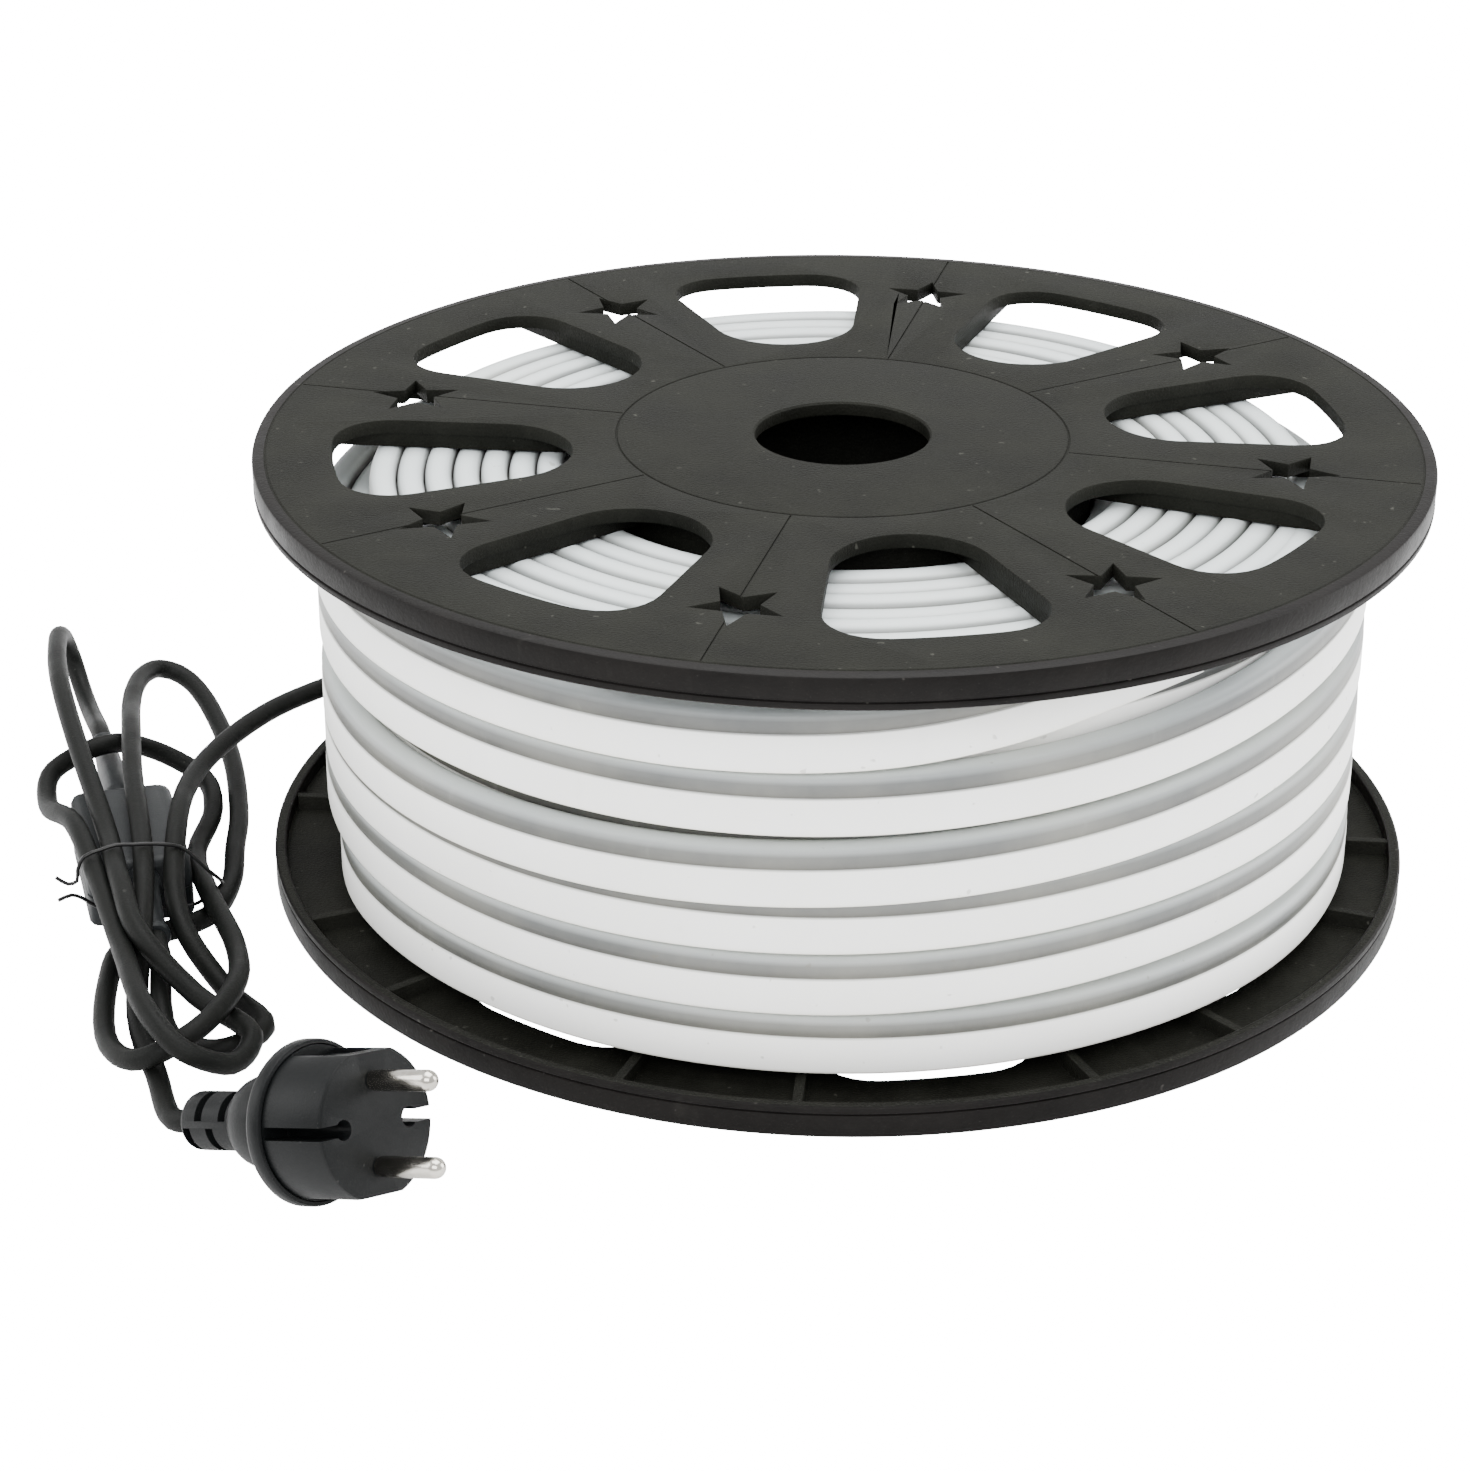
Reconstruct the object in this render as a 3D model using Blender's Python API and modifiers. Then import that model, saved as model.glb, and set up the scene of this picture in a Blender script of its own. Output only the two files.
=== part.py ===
# LED neon flex wound on a moulded plastic reel, with its supply lead tied in a hank beside it.
# The reel lies on its lower flange. Units are metres, +Z is up, and the origin is the
# reel's axis at the level of the floor.
import math

import bmesh
import bpy
from mathutils import Matrix, Vector

# Fit between pieces that touch
FIT = 0.0003

# Flex: an opaque base with a translucent dome on it, wound dome upwards
FLEX_THICKNESS = 0.0071
FLEX_DOME = 0.0053
FULL_LAYERS = 7
FULL_TURNS = 7
FULL_PITCH = 0.0146
OUTER_LAYERS = 3
OUTER_TURNS = 6
OUTER_PITCH = 0.0155
END_GROOVE = 0.0012

# Core tube between the flanges
CORE_RADIUS = 0.0640
CORE_WALL = 0.0030

# Flange: plate, rim wall, ribs on the inner side, windows, stars and hub hole
FLANGE_RADIUS = 0.1500
PLATE_THICKNESS = 0.0036
RIM_DEPTH = 0.0085
RIM_WALL = 0.0030
RIM_CHAMFER = 0.0008
RIB_DEPTH = 0.0075
RIB_THICKNESS = 0.0024
RIB_LEDGE = 0.0006
RIB_OUTER_RADIUS = 0.1340
HUB_HOLE_RADIUS = 0.0224
SPIGOT_WALL = 0.0024
SPIGOT_HEIGHT = 0.0100
SPOKES = 8
SPOKE_ANGLE = math.radians(-11.5)
WINDOW_INNER = 0.0695
WINDOW_OUTER = 0.1270
WINDOW_CROWN = 0.0015
WINDOW_INNER_HALF = 0.0152
WINDOW_OUTER_HALF = 0.0300
WINDOW_INNER_FILLET = 0.0125
WINDOW_OUTER_FILLET = 0.0120
WINDOW_CROWN_FILLET = 0.0600
STAR_PLACE = 0.1145
STAR_RADIUS = 0.0113
STAR_WAIST = 0.0046

# Rectifier box on the lead
BOX_LENGTH = 0.0460
BOX_WIDTH = 0.0270
BOX_HEIGHT = 0.0175
BOX_ROUNDING = 0.0030
BOX_PLACE = Vector((-0.1850, -0.0305, 0.0))
BOX_TURN = math.radians(17.6)
RELIEF_HEIGHT = 0.0112
FAR_RELIEF_LENGTH = 0.0400
NEAR_RELIEF_LENGTH = 0.0300
RELIEF_ROOT = 0.0045
RELIEF_TIP = 0.0038

# Plug: a round two-pin plug that rests on its collar and its strain relief
PLUG_RELIEF_RADIUS = 0.0068
PLUG_RELIEF_LENGTH = 0.0170
PLUG_DOME_RADIUS = 0.0110
PLUG_DOME_LENGTH = 0.0175
PLUG_COLLAR_RADIUS = 0.0187
PLUG_COLLAR_THICKNESS = 0.0045
PLUG_BODY_RADIUS = 0.0173
PLUG_BODY_LENGTH = 0.0180
PLUG_FLAT = 0.0158
PLUG_SLOT_WIDTH = 0.0040
PLUG_SLOT_DEPTH = 0.0050
PIN_RADIUS = 0.0024
PIN_LENGTH = 0.0190
PIN_SPACING = 0.0190
PLUG_HEADING = math.radians(-33.0)
PLUG_ROLL = math.radians(-17.0)
PLUG_COLLAR_PLACE = Vector((-0.1172, -0.1759, 0.0))

# End cap on the outer end of the flex, behind the roll, with its strain relief
CAP_LENGTH = 0.0300
CAP_WIDTH = 0.0150
CAP_THICKNESS = 0.0100
CAP_RELIEF_LENGTH = 0.0200
CAP_ANGLE = math.radians(130.0)
CAP_HEIGHT = 0.0160

# Lead and the twist tie round its hank
LEAD_RADIUS = 0.0027
TIE_RADIUS = 0.0005

# Routes through the air and over the floor, each point chosen on the photo's own loops
PLUG_LEAD_ROUTE = [
    (-0.2068, 0.0380, 0.0108), (-0.2124, 0.0560, 0.0058), (-0.2176, 0.0715, 0.0030),
    (-0.2216, 0.0815, 0.0048), (-0.2246, 0.0866, 0.0108), (-0.2260, 0.0844, 0.0182),
    (-0.2252, 0.0754, 0.0236), (-0.2226, 0.0610, 0.0266), (-0.2188, 0.0440, 0.0284),
    (-0.2135, 0.0255, 0.0290), (-0.2041, -0.0014, 0.0269), (-0.1884, -0.0418, 0.0211),
    (-0.1783, -0.0735, 0.0224), (-0.1701, -0.0938, 0.0198), (-0.1545, -0.1062, 0.0098),
    (-0.1384, -0.1219, 0.0081), (-0.1412, -0.1341, 0.0075), (-0.1514, -0.1382, 0.0131),
    (-0.1615, -0.1284, 0.0174), (-0.1745, -0.0949, 0.0166), (-0.1863, -0.0644, 0.0191),
    (-0.1977, -0.0381, 0.0211), (-0.2105, -0.0126, 0.0134), (-0.2124, 0.0051, 0.0149),
    (-0.1995, 0.0143, 0.0186), (-0.1887, 0.0246, 0.0119), (-0.1755, 0.0230, 0.0046),
    (-0.1702, 0.0078, 0.0028), (-0.1697, -0.0209, 0.0041), (-0.1610, -0.0512, 0.0085),
    (-0.1488, -0.0822, 0.0102), (-0.1445, -0.1088, 0.0138), (-0.1507, -0.1289, 0.0130),
    (-0.1631, -0.1328, 0.0074), (-0.1737, -0.1195, 0.0032), (-0.1799, -0.0894, 0.0031),
    (-0.1791, -0.0700, 0.0027), (-0.1614, -0.0549, 0.0031), (-0.1581, -0.0370, 0.0028),
    (-0.1605, -0.0144, 0.0029), (-0.1619, -0.0002, 0.0029), (-0.1645, 0.0144, 0.0030),
    (-0.1683, 0.0311, 0.0036), (-0.1731, 0.0463, 0.0048), (-0.1780, 0.0582, 0.0064),
    (-0.1830, 0.0680, 0.0082), (-0.1881, 0.0748, 0.0100), (-0.1928, 0.0774, 0.0116),
    (-0.1972, 0.0760, 0.0132), (-0.1998, 0.0685, 0.0148), (-0.1999, 0.0557, 0.0165),
    (-0.1977, 0.0394, 0.0188), (-0.1931, 0.0166, 0.0226), (-0.1867, -0.0139, 0.0236),
    (-0.1757, -0.0578, 0.0208), (-0.1710, -0.0878, 0.0156), (-0.1687, -0.1087, 0.0048),
    (-0.1599, -0.1319, 0.0028), (-0.1517, -0.1535, 0.0039),
]
FEED_LEAD_ROUTE = [
    (-0.1246, 0.0795, 0.0160), (-0.1449, 0.0589, 0.0168), (-0.1601, 0.0358, 0.0181),
    (-0.1716, -0.0024, 0.0195), (-0.1699, -0.0436, 0.0215), (-0.1638, -0.0744, 0.0129),
    (-0.1503, -0.0918, 0.0037), (-0.1377, -0.1093, 0.0029), (-0.1475, -0.1202, 0.0028),
    (-0.1599, -0.1144, 0.0033), (-0.1662, -0.0897, 0.0110), (-0.1677, -0.0852, 0.0112),
]
TIE_ROUTE = [
    (-0.1975, -0.0621, 0.0178), (-0.1946, -0.0618, 0.0158), (-0.1923, -0.0616, 0.0166),
    (-0.1920, -0.0612, 0.0196), (-0.1902, -0.0606, 0.0231), (-0.1861, -0.0593, 0.0245),
    (-0.1824, -0.0581, 0.0253), (-0.1787, -0.0569, 0.0249), (-0.1753, -0.0558, 0.0246),
    (-0.1711, -0.0545, 0.0239), (-0.1673, -0.0533, 0.0227), (-0.1648, -0.0525, 0.0204),
    (-0.1611, -0.0508, 0.0150), (-0.1583, -0.0485, 0.0108), (-0.1586, -0.0457, 0.0079),
    (-0.1612, -0.0446, 0.0050), (-0.1633, -0.0474, 0.0043), (-0.1657, -0.0504, 0.0042),
    (-0.1728, -0.0524, 0.0046), (-0.1775, -0.0539, 0.0049), (-0.1833, -0.0557, 0.0054),
    (-0.1889, -0.0579, 0.0075), (-0.1918, -0.0598, 0.0108), (-0.1940, -0.0617, 0.0126),
    (-0.1968, -0.0643, 0.0124),
]

# Smoothness of the round shapes
TUBE_RESOLUTION = 3
FLANGE_SIDES = 64
ROLL_SIDES = 48
SMALL_SIDES = 24
ARC_STEPS = 4

# Sizes that follow from the ones above
FULL_HEIGHT = FULL_TURNS * FULL_PITCH
REEL_HEIGHT = 2 * (RIB_DEPTH + FIT) + FULL_HEIGHT
ROLL_BASE = RIB_DEPTH + FIT
ROLL_BORE = CORE_RADIUS + FIT
ROLL_STEP = ROLL_BORE + FULL_LAYERS * FLEX_THICKNESS
ROLL_RADIUS = ROLL_STEP + OUTER_LAYERS * FLEX_THICKNESS


def clear_scene():
    for item in list(bpy.data.objects):
        bpy.data.objects.remove(item, do_unlink=True)


def make_collection(name):
    collection = bpy.data.collections.new(name)
    bpy.context.scene.collection.children.link(collection)
    return collection


def make_material(name, colour, roughness, metallic=0.0):
    material = bpy.data.materials.new(name)
    material.use_nodes = True
    shader = material.node_tree.nodes["Principled BSDF"]
    shader.inputs["Base Color"].default_value = (*colour, 1.0)
    shader.inputs["Roughness"].default_value = roughness
    shader.inputs["Metallic"].default_value = metallic
    return material


def add_object(name, data, collection, material=None):
    item = bpy.data.objects.new(name, data)
    collection.objects.link(item)
    if material:
        data.materials.clear()
        data.materials.append(material)
    return item


def smooth_rounds(mesh):
    mesh.shade_smooth()
    mesh.set_sharp_from_angle(angle=math.radians(32))


def make_cutter(item):
    item.hide_render = True
    item.display_type = "WIRE"


def evaluated_mesh(item, name):
    """The item's mesh with its modifiers or bevel applied and its caps welded."""
    graph = bpy.context.evaluated_depsgraph_get()
    graph.update()
    mesh = bpy.data.meshes.new_from_object(item.evaluated_get(graph))
    mesh.name = name
    work = bmesh.new()
    work.from_mesh(mesh)
    bmesh.ops.remove_doubles(work, verts=work.verts, dist=0.000005)
    bmesh.ops.recalc_face_normals(work, faces=work.faces)
    work.to_mesh(mesh)
    work.free()
    return mesh


def turned(name, profile, sides, collection, material=None):
    """A solid turned about Z from a (radius, height) profile, closed or with ends on Z."""
    mesh = bpy.data.meshes.new(name)
    points = [(radius, 0.0, height) for radius, height in profile]
    edges = [(index, index + 1) for index in range(len(points) - 1)]
    if profile[0][0] > 0.0:
        edges.append((len(points) - 1, 0))
    mesh.from_pydata(points, edges, [])
    item = add_object(name, mesh, collection, material)
    screw = item.modifiers.new("turn", "SCREW")
    screw.axis = "Z"
    screw.steps = sides
    screw.render_steps = sides
    screw.use_merge_vertices = True
    screw.merge_threshold = 0.00001
    screw.use_smooth_shade = True
    return item


def flat_solid(name, outline, low, high, collection):
    """A prism from a flat outline, made as a filled 2D curve and turned into a mesh."""
    curve = bpy.data.curves.new(name, "CURVE")
    curve.dimensions = "2D"
    curve.fill_mode = "BOTH"
    curve.extrude = (high - low) / 2
    spline = curve.splines.new("POLY")
    spline.points.add(len(outline) - 1)
    for point, (x, y) in zip(spline.points, outline):
        point.co = (x, y, 0.0, 1.0)
    spline.use_cyclic_u = True
    item = add_object(name, curve, collection)
    item.location = (0.0, 0.0, (low + high) / 2)
    bpy.context.view_layer.update()
    mesh = evaluated_mesh(item, name)
    mesh.transform(item.matrix_world)
    bpy.data.objects.remove(item, do_unlink=True)
    return mesh


def join_turned_copies(name, meshes, count, collection):
    """One object that holds the meshes, repeated evenly about Z."""
    work = bmesh.new()
    for mesh in meshes:
        for index in range(count):
            copy = mesh.copy()
            copy.transform(Matrix.Rotation(2 * math.pi * index / count, 4, "Z"))
            work.from_mesh(copy)
            bpy.data.meshes.remove(copy)
    joined = bpy.data.meshes.new(name)
    work.to_mesh(joined)
    work.free()
    item = add_object(name, joined, collection)
    make_cutter(item)
    return item


def boolean(item, other, operation):
    modifier = item.modifiers.new(operation.lower(), "BOOLEAN")
    modifier.operation = operation
    modifier.object = other


def rounded_outline(corners):
    """Corner points (x, y, fillet) to an outline with an arc of ARC_STEPS at each corner."""
    outline = []
    for index, (x, y, fillet) in enumerate(corners):
        corner = Vector((x, y))
        before = Vector(corners[index - 1][:2]) - corner
        after = Vector(corners[(index + 1) % len(corners)][:2]) - corner
        half = before.angle(after) / 2
        reach = fillet / math.tan(half)
        bisector = (before.normalized() + after.normalized()).normalized()
        centre = corner + bisector * (fillet / math.sin(half))
        first = corner + before.normalized() * reach - centre
        last = corner + after.normalized() * reach - centre
        sweep = math.pi - 2 * half
        side = math.copysign(1.0, first.cross(last))
        for step in range(ARC_STEPS + 1):
            turn = Matrix.Rotation(side * sweep * step / ARC_STEPS, 2)
            outline.append(tuple(centre + turn @ first))
    return outline


def window_outline():
    """One window, along +X, wider at the rim than at the hub and crowned at the rim."""
    crown = WINDOW_OUTER + WINDOW_CROWN
    corners = [
        (WINDOW_INNER, -WINDOW_INNER_HALF, WINDOW_INNER_FILLET),
        (WINDOW_OUTER, -WINDOW_OUTER_HALF, WINDOW_OUTER_FILLET),
        (crown, 0.0, WINDOW_CROWN_FILLET),
        (WINDOW_OUTER, WINDOW_OUTER_HALF, WINDOW_OUTER_FILLET),
        (WINDOW_INNER, WINDOW_INNER_HALF, WINDOW_INNER_FILLET),
    ]
    return rounded_outline(corners)


def star_outline():
    outline = []
    for index in range(10):
        radius = STAR_WAIST if index % 2 else STAR_RADIUS
        angle = math.pi * index / 5
        outline.append((STAR_PLACE + radius * math.cos(angle), radius * math.sin(angle)))
    return outline


def rib_outlines():
    """The two ribs beside one window, each parallel to the window's straight side."""
    slope = (WINDOW_OUTER_HALF - WINDOW_INNER_HALF) / (WINDOW_OUTER - WINDOW_INNER)
    lean = math.hypot(1.0, slope)
    start = CORE_RADIUS + RIB_THICKNESS
    outlines = []
    for side in (-1, 1):
        near = []
        far = []
        for along in (start, RIB_OUTER_RADIUS):
            edge = WINDOW_INNER_HALF + slope * (along - WINDOW_INNER) + RIB_LEDGE * lean
            near.append((along, side * edge))
            far.append((along, side * (edge + RIB_THICKNESS * lean)))
        outlines.append([near[0], near[1], far[1], far[0]])
    return outlines


def flange_mesh(cutters):
    """A flange with its outer face at height 0 and its ribs upwards, a spoke along +X."""
    spigot_outer = CORE_RADIUS - CORE_WALL - FIT
    spigot_inner = spigot_outer - SPIGOT_WALL
    spigot_top = PLATE_THICKNESS + SPIGOT_HEIGHT
    wall_inner = FLANGE_RADIUS - RIM_WALL
    profile = [
        (wall_inner, RIM_DEPTH),
        (FLANGE_RADIUS, RIM_DEPTH),
        (FLANGE_RADIUS, RIM_CHAMFER),
        (FLANGE_RADIUS - RIM_CHAMFER, 0.0),
        (HUB_HOLE_RADIUS, 0.0),
        (HUB_HOLE_RADIUS, PLATE_THICKNESS),
        (spigot_inner, PLATE_THICKNESS),
        (spigot_inner, spigot_top),
        (spigot_outer, spigot_top),
        (spigot_outer, PLATE_THICKNESS),
        (wall_inner, PLATE_THICKNESS),
    ]
    disc = turned("flange_disc", profile, FLANGE_SIDES, cutters)
    half_step = Matrix.Rotation(math.pi / SPOKES, 4, "Z")
    window = flat_solid("window", window_outline(), -RIM_DEPTH, 2 * RIM_DEPTH, cutters)
    window.transform(half_step)
    star = flat_solid("star", star_outline(), -RIM_DEPTH, 2 * RIM_DEPTH, cutters)
    ribs = []
    for outline in rib_outlines():
        rib = flat_solid("rib", outline, PLATE_THICKNESS / 2, RIB_DEPTH, cutters)
        rib.transform(half_step)
        ribs.append(rib)
    all_ribs = join_turned_copies("flange_ribs", ribs, SPOKES, cutters)
    openings = join_turned_copies("flange_openings", [window, star], SPOKES, cutters)
    boolean(disc, all_ribs, "UNION")
    boolean(disc, openings, "DIFFERENCE")
    mesh = evaluated_mesh(disc, "spool_flange")
    make_cutter(disc)
    return mesh


def add_flanges(collection, cutters, material):
    mesh = flange_mesh(cutters)
    smooth_rounds(mesh)
    lower = add_object("spool_flange_bottom", mesh, collection, material)
    lower.matrix_world = Matrix.Rotation(SPOKE_ANGLE, 4, "Z")
    upper = add_object("spool_flange_top", mesh, collection, material)
    lift = Matrix.Translation((0.0, 0.0, REEL_HEIGHT))
    flip = Matrix.Rotation(math.pi, 4, "X")
    upper.matrix_world = lift @ Matrix.Rotation(SPOKE_ANGLE, 4, "Z") @ flip


def add_core(collection, material):
    low = PLATE_THICKNESS + FIT
    high = REEL_HEIGHT - PLATE_THICKNESS - FIT
    inner = CORE_RADIUS - CORE_WALL
    profile = [(inner, high), (CORE_RADIUS, high), (CORE_RADIUS, low), (inner, low)]
    turned("spool_core", profile, ROLL_SIDES, collection, material)


def ring_tops(inner, layers, height):
    """The domed ends of neighbouring layers, from the inside outwards, grooves between."""
    points = []
    for layer in range(layers):
        middle = inner + (layer + 0.5) * FLEX_THICKNESS
        points.append((middle, height))
        if layer < layers - 1:
            points.append((middle + FLEX_THICKNESS / 2, height - 2 * END_GROOVE))
    return points


def roll_profile():
    """Half section of the winding: domed rings on top, turns outside, flat rings below."""
    top = ROLL_BASE + FULL_HEIGHT
    step_top = ROLL_BASE + OUTER_TURNS * OUTER_PITCH
    points = [(ROLL_BORE, top - 2 * END_GROOVE)]
    points += ring_tops(ROLL_BORE, FULL_LAYERS, top)
    points.append((ROLL_STEP, top - 2 * END_GROOVE))
    points.append((ROLL_STEP, step_top - 2 * END_GROOVE))
    points += ring_tops(ROLL_STEP, OUTER_LAYERS, step_top)
    for turn in reversed(range(OUTER_TURNS)):
        base = ROLL_BASE + turn * OUTER_PITCH
        points.append((ROLL_RADIUS, base + OUTER_PITCH - FLEX_DOME))
        if turn:
            points.append((ROLL_RADIUS, base + END_GROOVE / 2))
            points.append((ROLL_RADIUS - FLEX_THICKNESS / 3, base))
    layers = FULL_LAYERS + OUTER_LAYERS
    for layer in reversed(range(layers)):
        outer = ROLL_BORE + (layer + 1) * FLEX_THICKNESS
        points.append((outer, ROLL_BASE + (END_GROOVE if layer < layers - 1 else 0.0)))
        points.append((outer - FLEX_THICKNESS / 2, ROLL_BASE))
    points.append((ROLL_BORE, ROLL_BASE + END_GROOVE))
    return points


def add_roll(collection, material):
    turned("neon_flex_roll", roll_profile(), ROLL_SIDES, collection, material)


def box_matrix():
    return Matrix.Translation(BOX_PLACE) @ Matrix.Rotation(BOX_TURN, 4, "Z")


def relief_mesh(name, length, cutters):
    """A tapered strain relief along +Z from height 0."""
    profile = [
        (0.0, length),
        (RELIEF_TIP, length),
        (RELIEF_ROOT, 0.0),
        (0.0, 0.0),
    ]
    item = turned(name, profile, SMALL_SIDES, cutters)
    mesh = evaluated_mesh(item, name)
    bpy.data.objects.remove(item, do_unlink=True)
    return mesh


def relief_tip(side, length, gap):
    """Where the lead meets the box's strain relief, gap metres off its tip."""
    return box_matrix() @ Vector((0.0, side * (BOX_LENGTH / 2 + length + gap), RELIEF_HEIGHT))


def add_rectifier(collection, cutters, box_material):
    """The rectifier box, its long side along Y, with a strain relief at each end."""
    work = bmesh.new()
    bmesh.ops.create_cube(work, size=1.0)
    bmesh.ops.scale(work, vec=(BOX_WIDTH, BOX_LENGTH, BOX_HEIGHT), verts=work.verts)
    bmesh.ops.translate(work, vec=(0.0, 0.0, BOX_HEIGHT / 2), verts=work.verts)
    upright = [e for e in work.edges if abs(e.verts[0].co.z - e.verts[1].co.z) > BOX_HEIGHT / 2]
    bmesh.ops.bevel(work, geom=upright, offset=BOX_ROUNDING, segments=3, affect="EDGES",
                    profile=0.5, material=-1)
    mesh = bpy.data.meshes.new("rectifier_box")
    work.to_mesh(mesh)
    work.free()
    box = add_object("rectifier_box", mesh, collection, box_material)
    root = BOX_LENGTH / 2 - BOX_ROUNDING
    reliefs = []
    for side, length in ((-1, NEAR_RELIEF_LENGTH), (1, FAR_RELIEF_LENGTH)):
        turn = Matrix.Rotation(-side * math.pi / 2, 4, "X")
        place = Matrix.Translation((0.0, side * root, RELIEF_HEIGHT))
        relief = relief_mesh("relief", length + BOX_ROUNDING, cutters)
        relief.transform(place @ turn)
        reliefs.append(relief)
    both = join_turned_copies("box_reliefs", reliefs, 1, cutters)
    both.matrix_world = box_matrix()
    boolean(box, both, "UNION")
    box.matrix_world = box_matrix()


def plug_tilt():
    """The plug lies on its collar and on the end of its strain relief."""
    reach = PLUG_RELIEF_LENGTH + PLUG_DOME_LENGTH
    return math.atan2(PLUG_COLLAR_RADIUS - PLUG_RELIEF_RADIUS, reach)


def plug_matrix():
    """Local +Z runs from the cord to the pins, and the collar's edge is on the floor."""
    tilt = plug_tilt()
    reach = PLUG_RELIEF_LENGTH + PLUG_DOME_LENGTH
    turn = (Matrix.Rotation(PLUG_HEADING, 4, "Z")
            @ Matrix.Rotation(math.pi / 2 - tilt, 4, "Y")
            @ Matrix.Rotation(PLUG_ROLL, 4, "Z"))
    axis = turn.to_3x3() @ Vector((0.0, 0.0, 1.0))
    collar = PLUG_COLLAR_PLACE + Vector((0.0, 0.0, PLUG_COLLAR_RADIUS * math.cos(tilt) + FIT))
    return Matrix.Translation(collar - axis * reach) @ turn


def plug_profile():
    dome_start = PLUG_RELIEF_LENGTH
    collar_start = dome_start + PLUG_DOME_LENGTH
    body_start = collar_start + PLUG_COLLAR_THICKNESS
    face = body_start + PLUG_BODY_LENGTH
    points = [(0.0, face), (PLUG_BODY_RADIUS, face), (PLUG_BODY_RADIUS, body_start)]
    points += [(PLUG_COLLAR_RADIUS, body_start), (PLUG_COLLAR_RADIUS, collar_start)]
    neck = PLUG_RELIEF_RADIUS
    for step in range(5):
        angle = math.pi / 2 * step / 4
        radius = neck + (PLUG_DOME_RADIUS - neck) * math.cos(angle)
        points.append((radius, collar_start - PLUG_DOME_LENGTH * math.sin(angle)))
    points += [(neck, 0.0), (0.0, 0.0)]
    return points


def plug_face():
    return PLUG_RELIEF_LENGTH + PLUG_DOME_LENGTH + PLUG_COLLAR_THICKNESS + PLUG_BODY_LENGTH


def block_mesh(name, low, high):
    work = bmesh.new()
    bmesh.ops.create_cube(work, size=1.0)
    size = Vector(high) - Vector(low)
    bmesh.ops.scale(work, vec=size, verts=work.verts)
    bmesh.ops.translate(work, vec=(Vector(high) + Vector(low)) / 2, verts=work.verts)
    mesh = bpy.data.meshes.new(name)
    work.to_mesh(mesh)
    work.free()
    return mesh


def add_plug(collection, cutters, body_material, pin_material):
    body = turned("plug_body", plug_profile(), 2 * SMALL_SIDES, collection, body_material)
    start = plug_face() - PLUG_BODY_LENGTH + FIT
    past = plug_face() + PLUG_SLOT_DEPTH
    wide = PLUG_COLLAR_RADIUS
    half_slot = PLUG_SLOT_WIDTH / 2
    slot_floor = PLUG_BODY_RADIUS - PLUG_SLOT_DEPTH
    blocks = [
        block_mesh("flat", (PLUG_FLAT, -wide, start), (wide, wide, past)),
        block_mesh("slot", (-half_slot, slot_floor, start), (half_slot, wide, past)),
    ]
    cuts = join_turned_copies("plug_cuts", blocks, 2, cutters)
    boolean(body, cuts, "DIFFERENCE")
    body.matrix_world = plug_matrix()
    cuts.matrix_world = plug_matrix()
    profile = [(0.0, PIN_LENGTH)]
    for step in range(1, 4):
        angle = math.pi / 2 * step / 3
        rise = PIN_LENGTH - PIN_RADIUS * (1 - math.cos(angle))
        profile.append((PIN_RADIUS * math.sin(angle), rise))
    profile += [(PIN_RADIUS, FIT), (0.0, FIT)]
    for name, side in (("plug_pin_1", 1), ("plug_pin_2", -1)):
        pin = turned(name, profile, SMALL_SIDES // 2, collection, pin_material)
        pin.matrix_world = plug_matrix() @ Matrix.Translation(
            (side * PIN_SPACING / 2, 0.0, plug_face()))


def cap_matrix():
    """Local +Y runs along the flex's outer turn to the cap's strain relief."""
    distance = ROLL_RADIUS + FIT + CAP_THICKNESS / 2
    turn = Matrix.Rotation(CAP_ANGLE, 4, "Z")
    return turn @ Matrix.Translation((distance, 0.0, CAP_HEIGHT))


def add_end_cap(collection, cutters, material):
    """The flex's end cap, which lies against the outer turn behind the roll."""
    half = Vector((CAP_THICKNESS, CAP_LENGTH, CAP_WIDTH)) / 2
    cap = add_object("flex_end_cap", block_mesh("flex_end_cap", -half, half), collection, material)
    relief = relief_mesh("cap_relief", CAP_RELIEF_LENGTH + BOX_ROUNDING, cutters)
    relief.transform(Matrix.Translation((0.0, half.y - BOX_ROUNDING, 0.0))
                     @ Matrix.Rotation(-math.pi / 2, 4, "X"))
    taper = join_turned_copies("cap_relief", [relief], 1, cutters)
    taper.matrix_world = cap_matrix()
    boolean(cap, taper, "UNION")
    cap.matrix_world = cap_matrix()


def blend(first, last, low, high, place):
    return (first * (high - place) + last * (place - low)) / (high - low)


def point_between(near):
    """The point midway between the middle two of four, on a smooth curve through all."""
    knots = [0.0]
    for first, last in zip(near, near[1:]):
        knots.append(knots[-1] + math.sqrt((last - first).length))
    place = (knots[1] + knots[2]) / 2
    level = near
    for span in (1, 2):
        level = [blend(level[i], level[i + 1], knots[i], knots[i + span], place)
                 for i in range(len(level) - 1)]
    return blend(level[0], level[1], knots[1], knots[2], place)


def smooth_route(points):
    """The route's points and one between each two, on one smooth curve through them."""
    route = [Vector(point) for point in points]
    padded = [2 * route[0] - route[1]] + route + [2 * route[-1] - route[-2]]
    smooth = []
    for index in range(len(route) - 1):
        smooth.append(route[index])
        smooth.append(point_between(padded[index:index + 4]))
    smooth.append(route[-1])
    return smooth


def add_tube(name, points, radius, collection, material):
    curve = bpy.data.curves.new(name, "CURVE")
    curve.dimensions = "3D"
    curve.bevel_depth = radius
    curve.bevel_resolution = TUBE_RESOLUTION
    curve.use_fill_caps = True
    spline = curve.splines.new("POLY")
    smooth = smooth_route(points)
    spline.points.add(len(smooth) - 1)
    for point, place in zip(spline.points, smooth):
        point.co = (*place, 1.0)
    return add_object(name, curve, collection, material)


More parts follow.
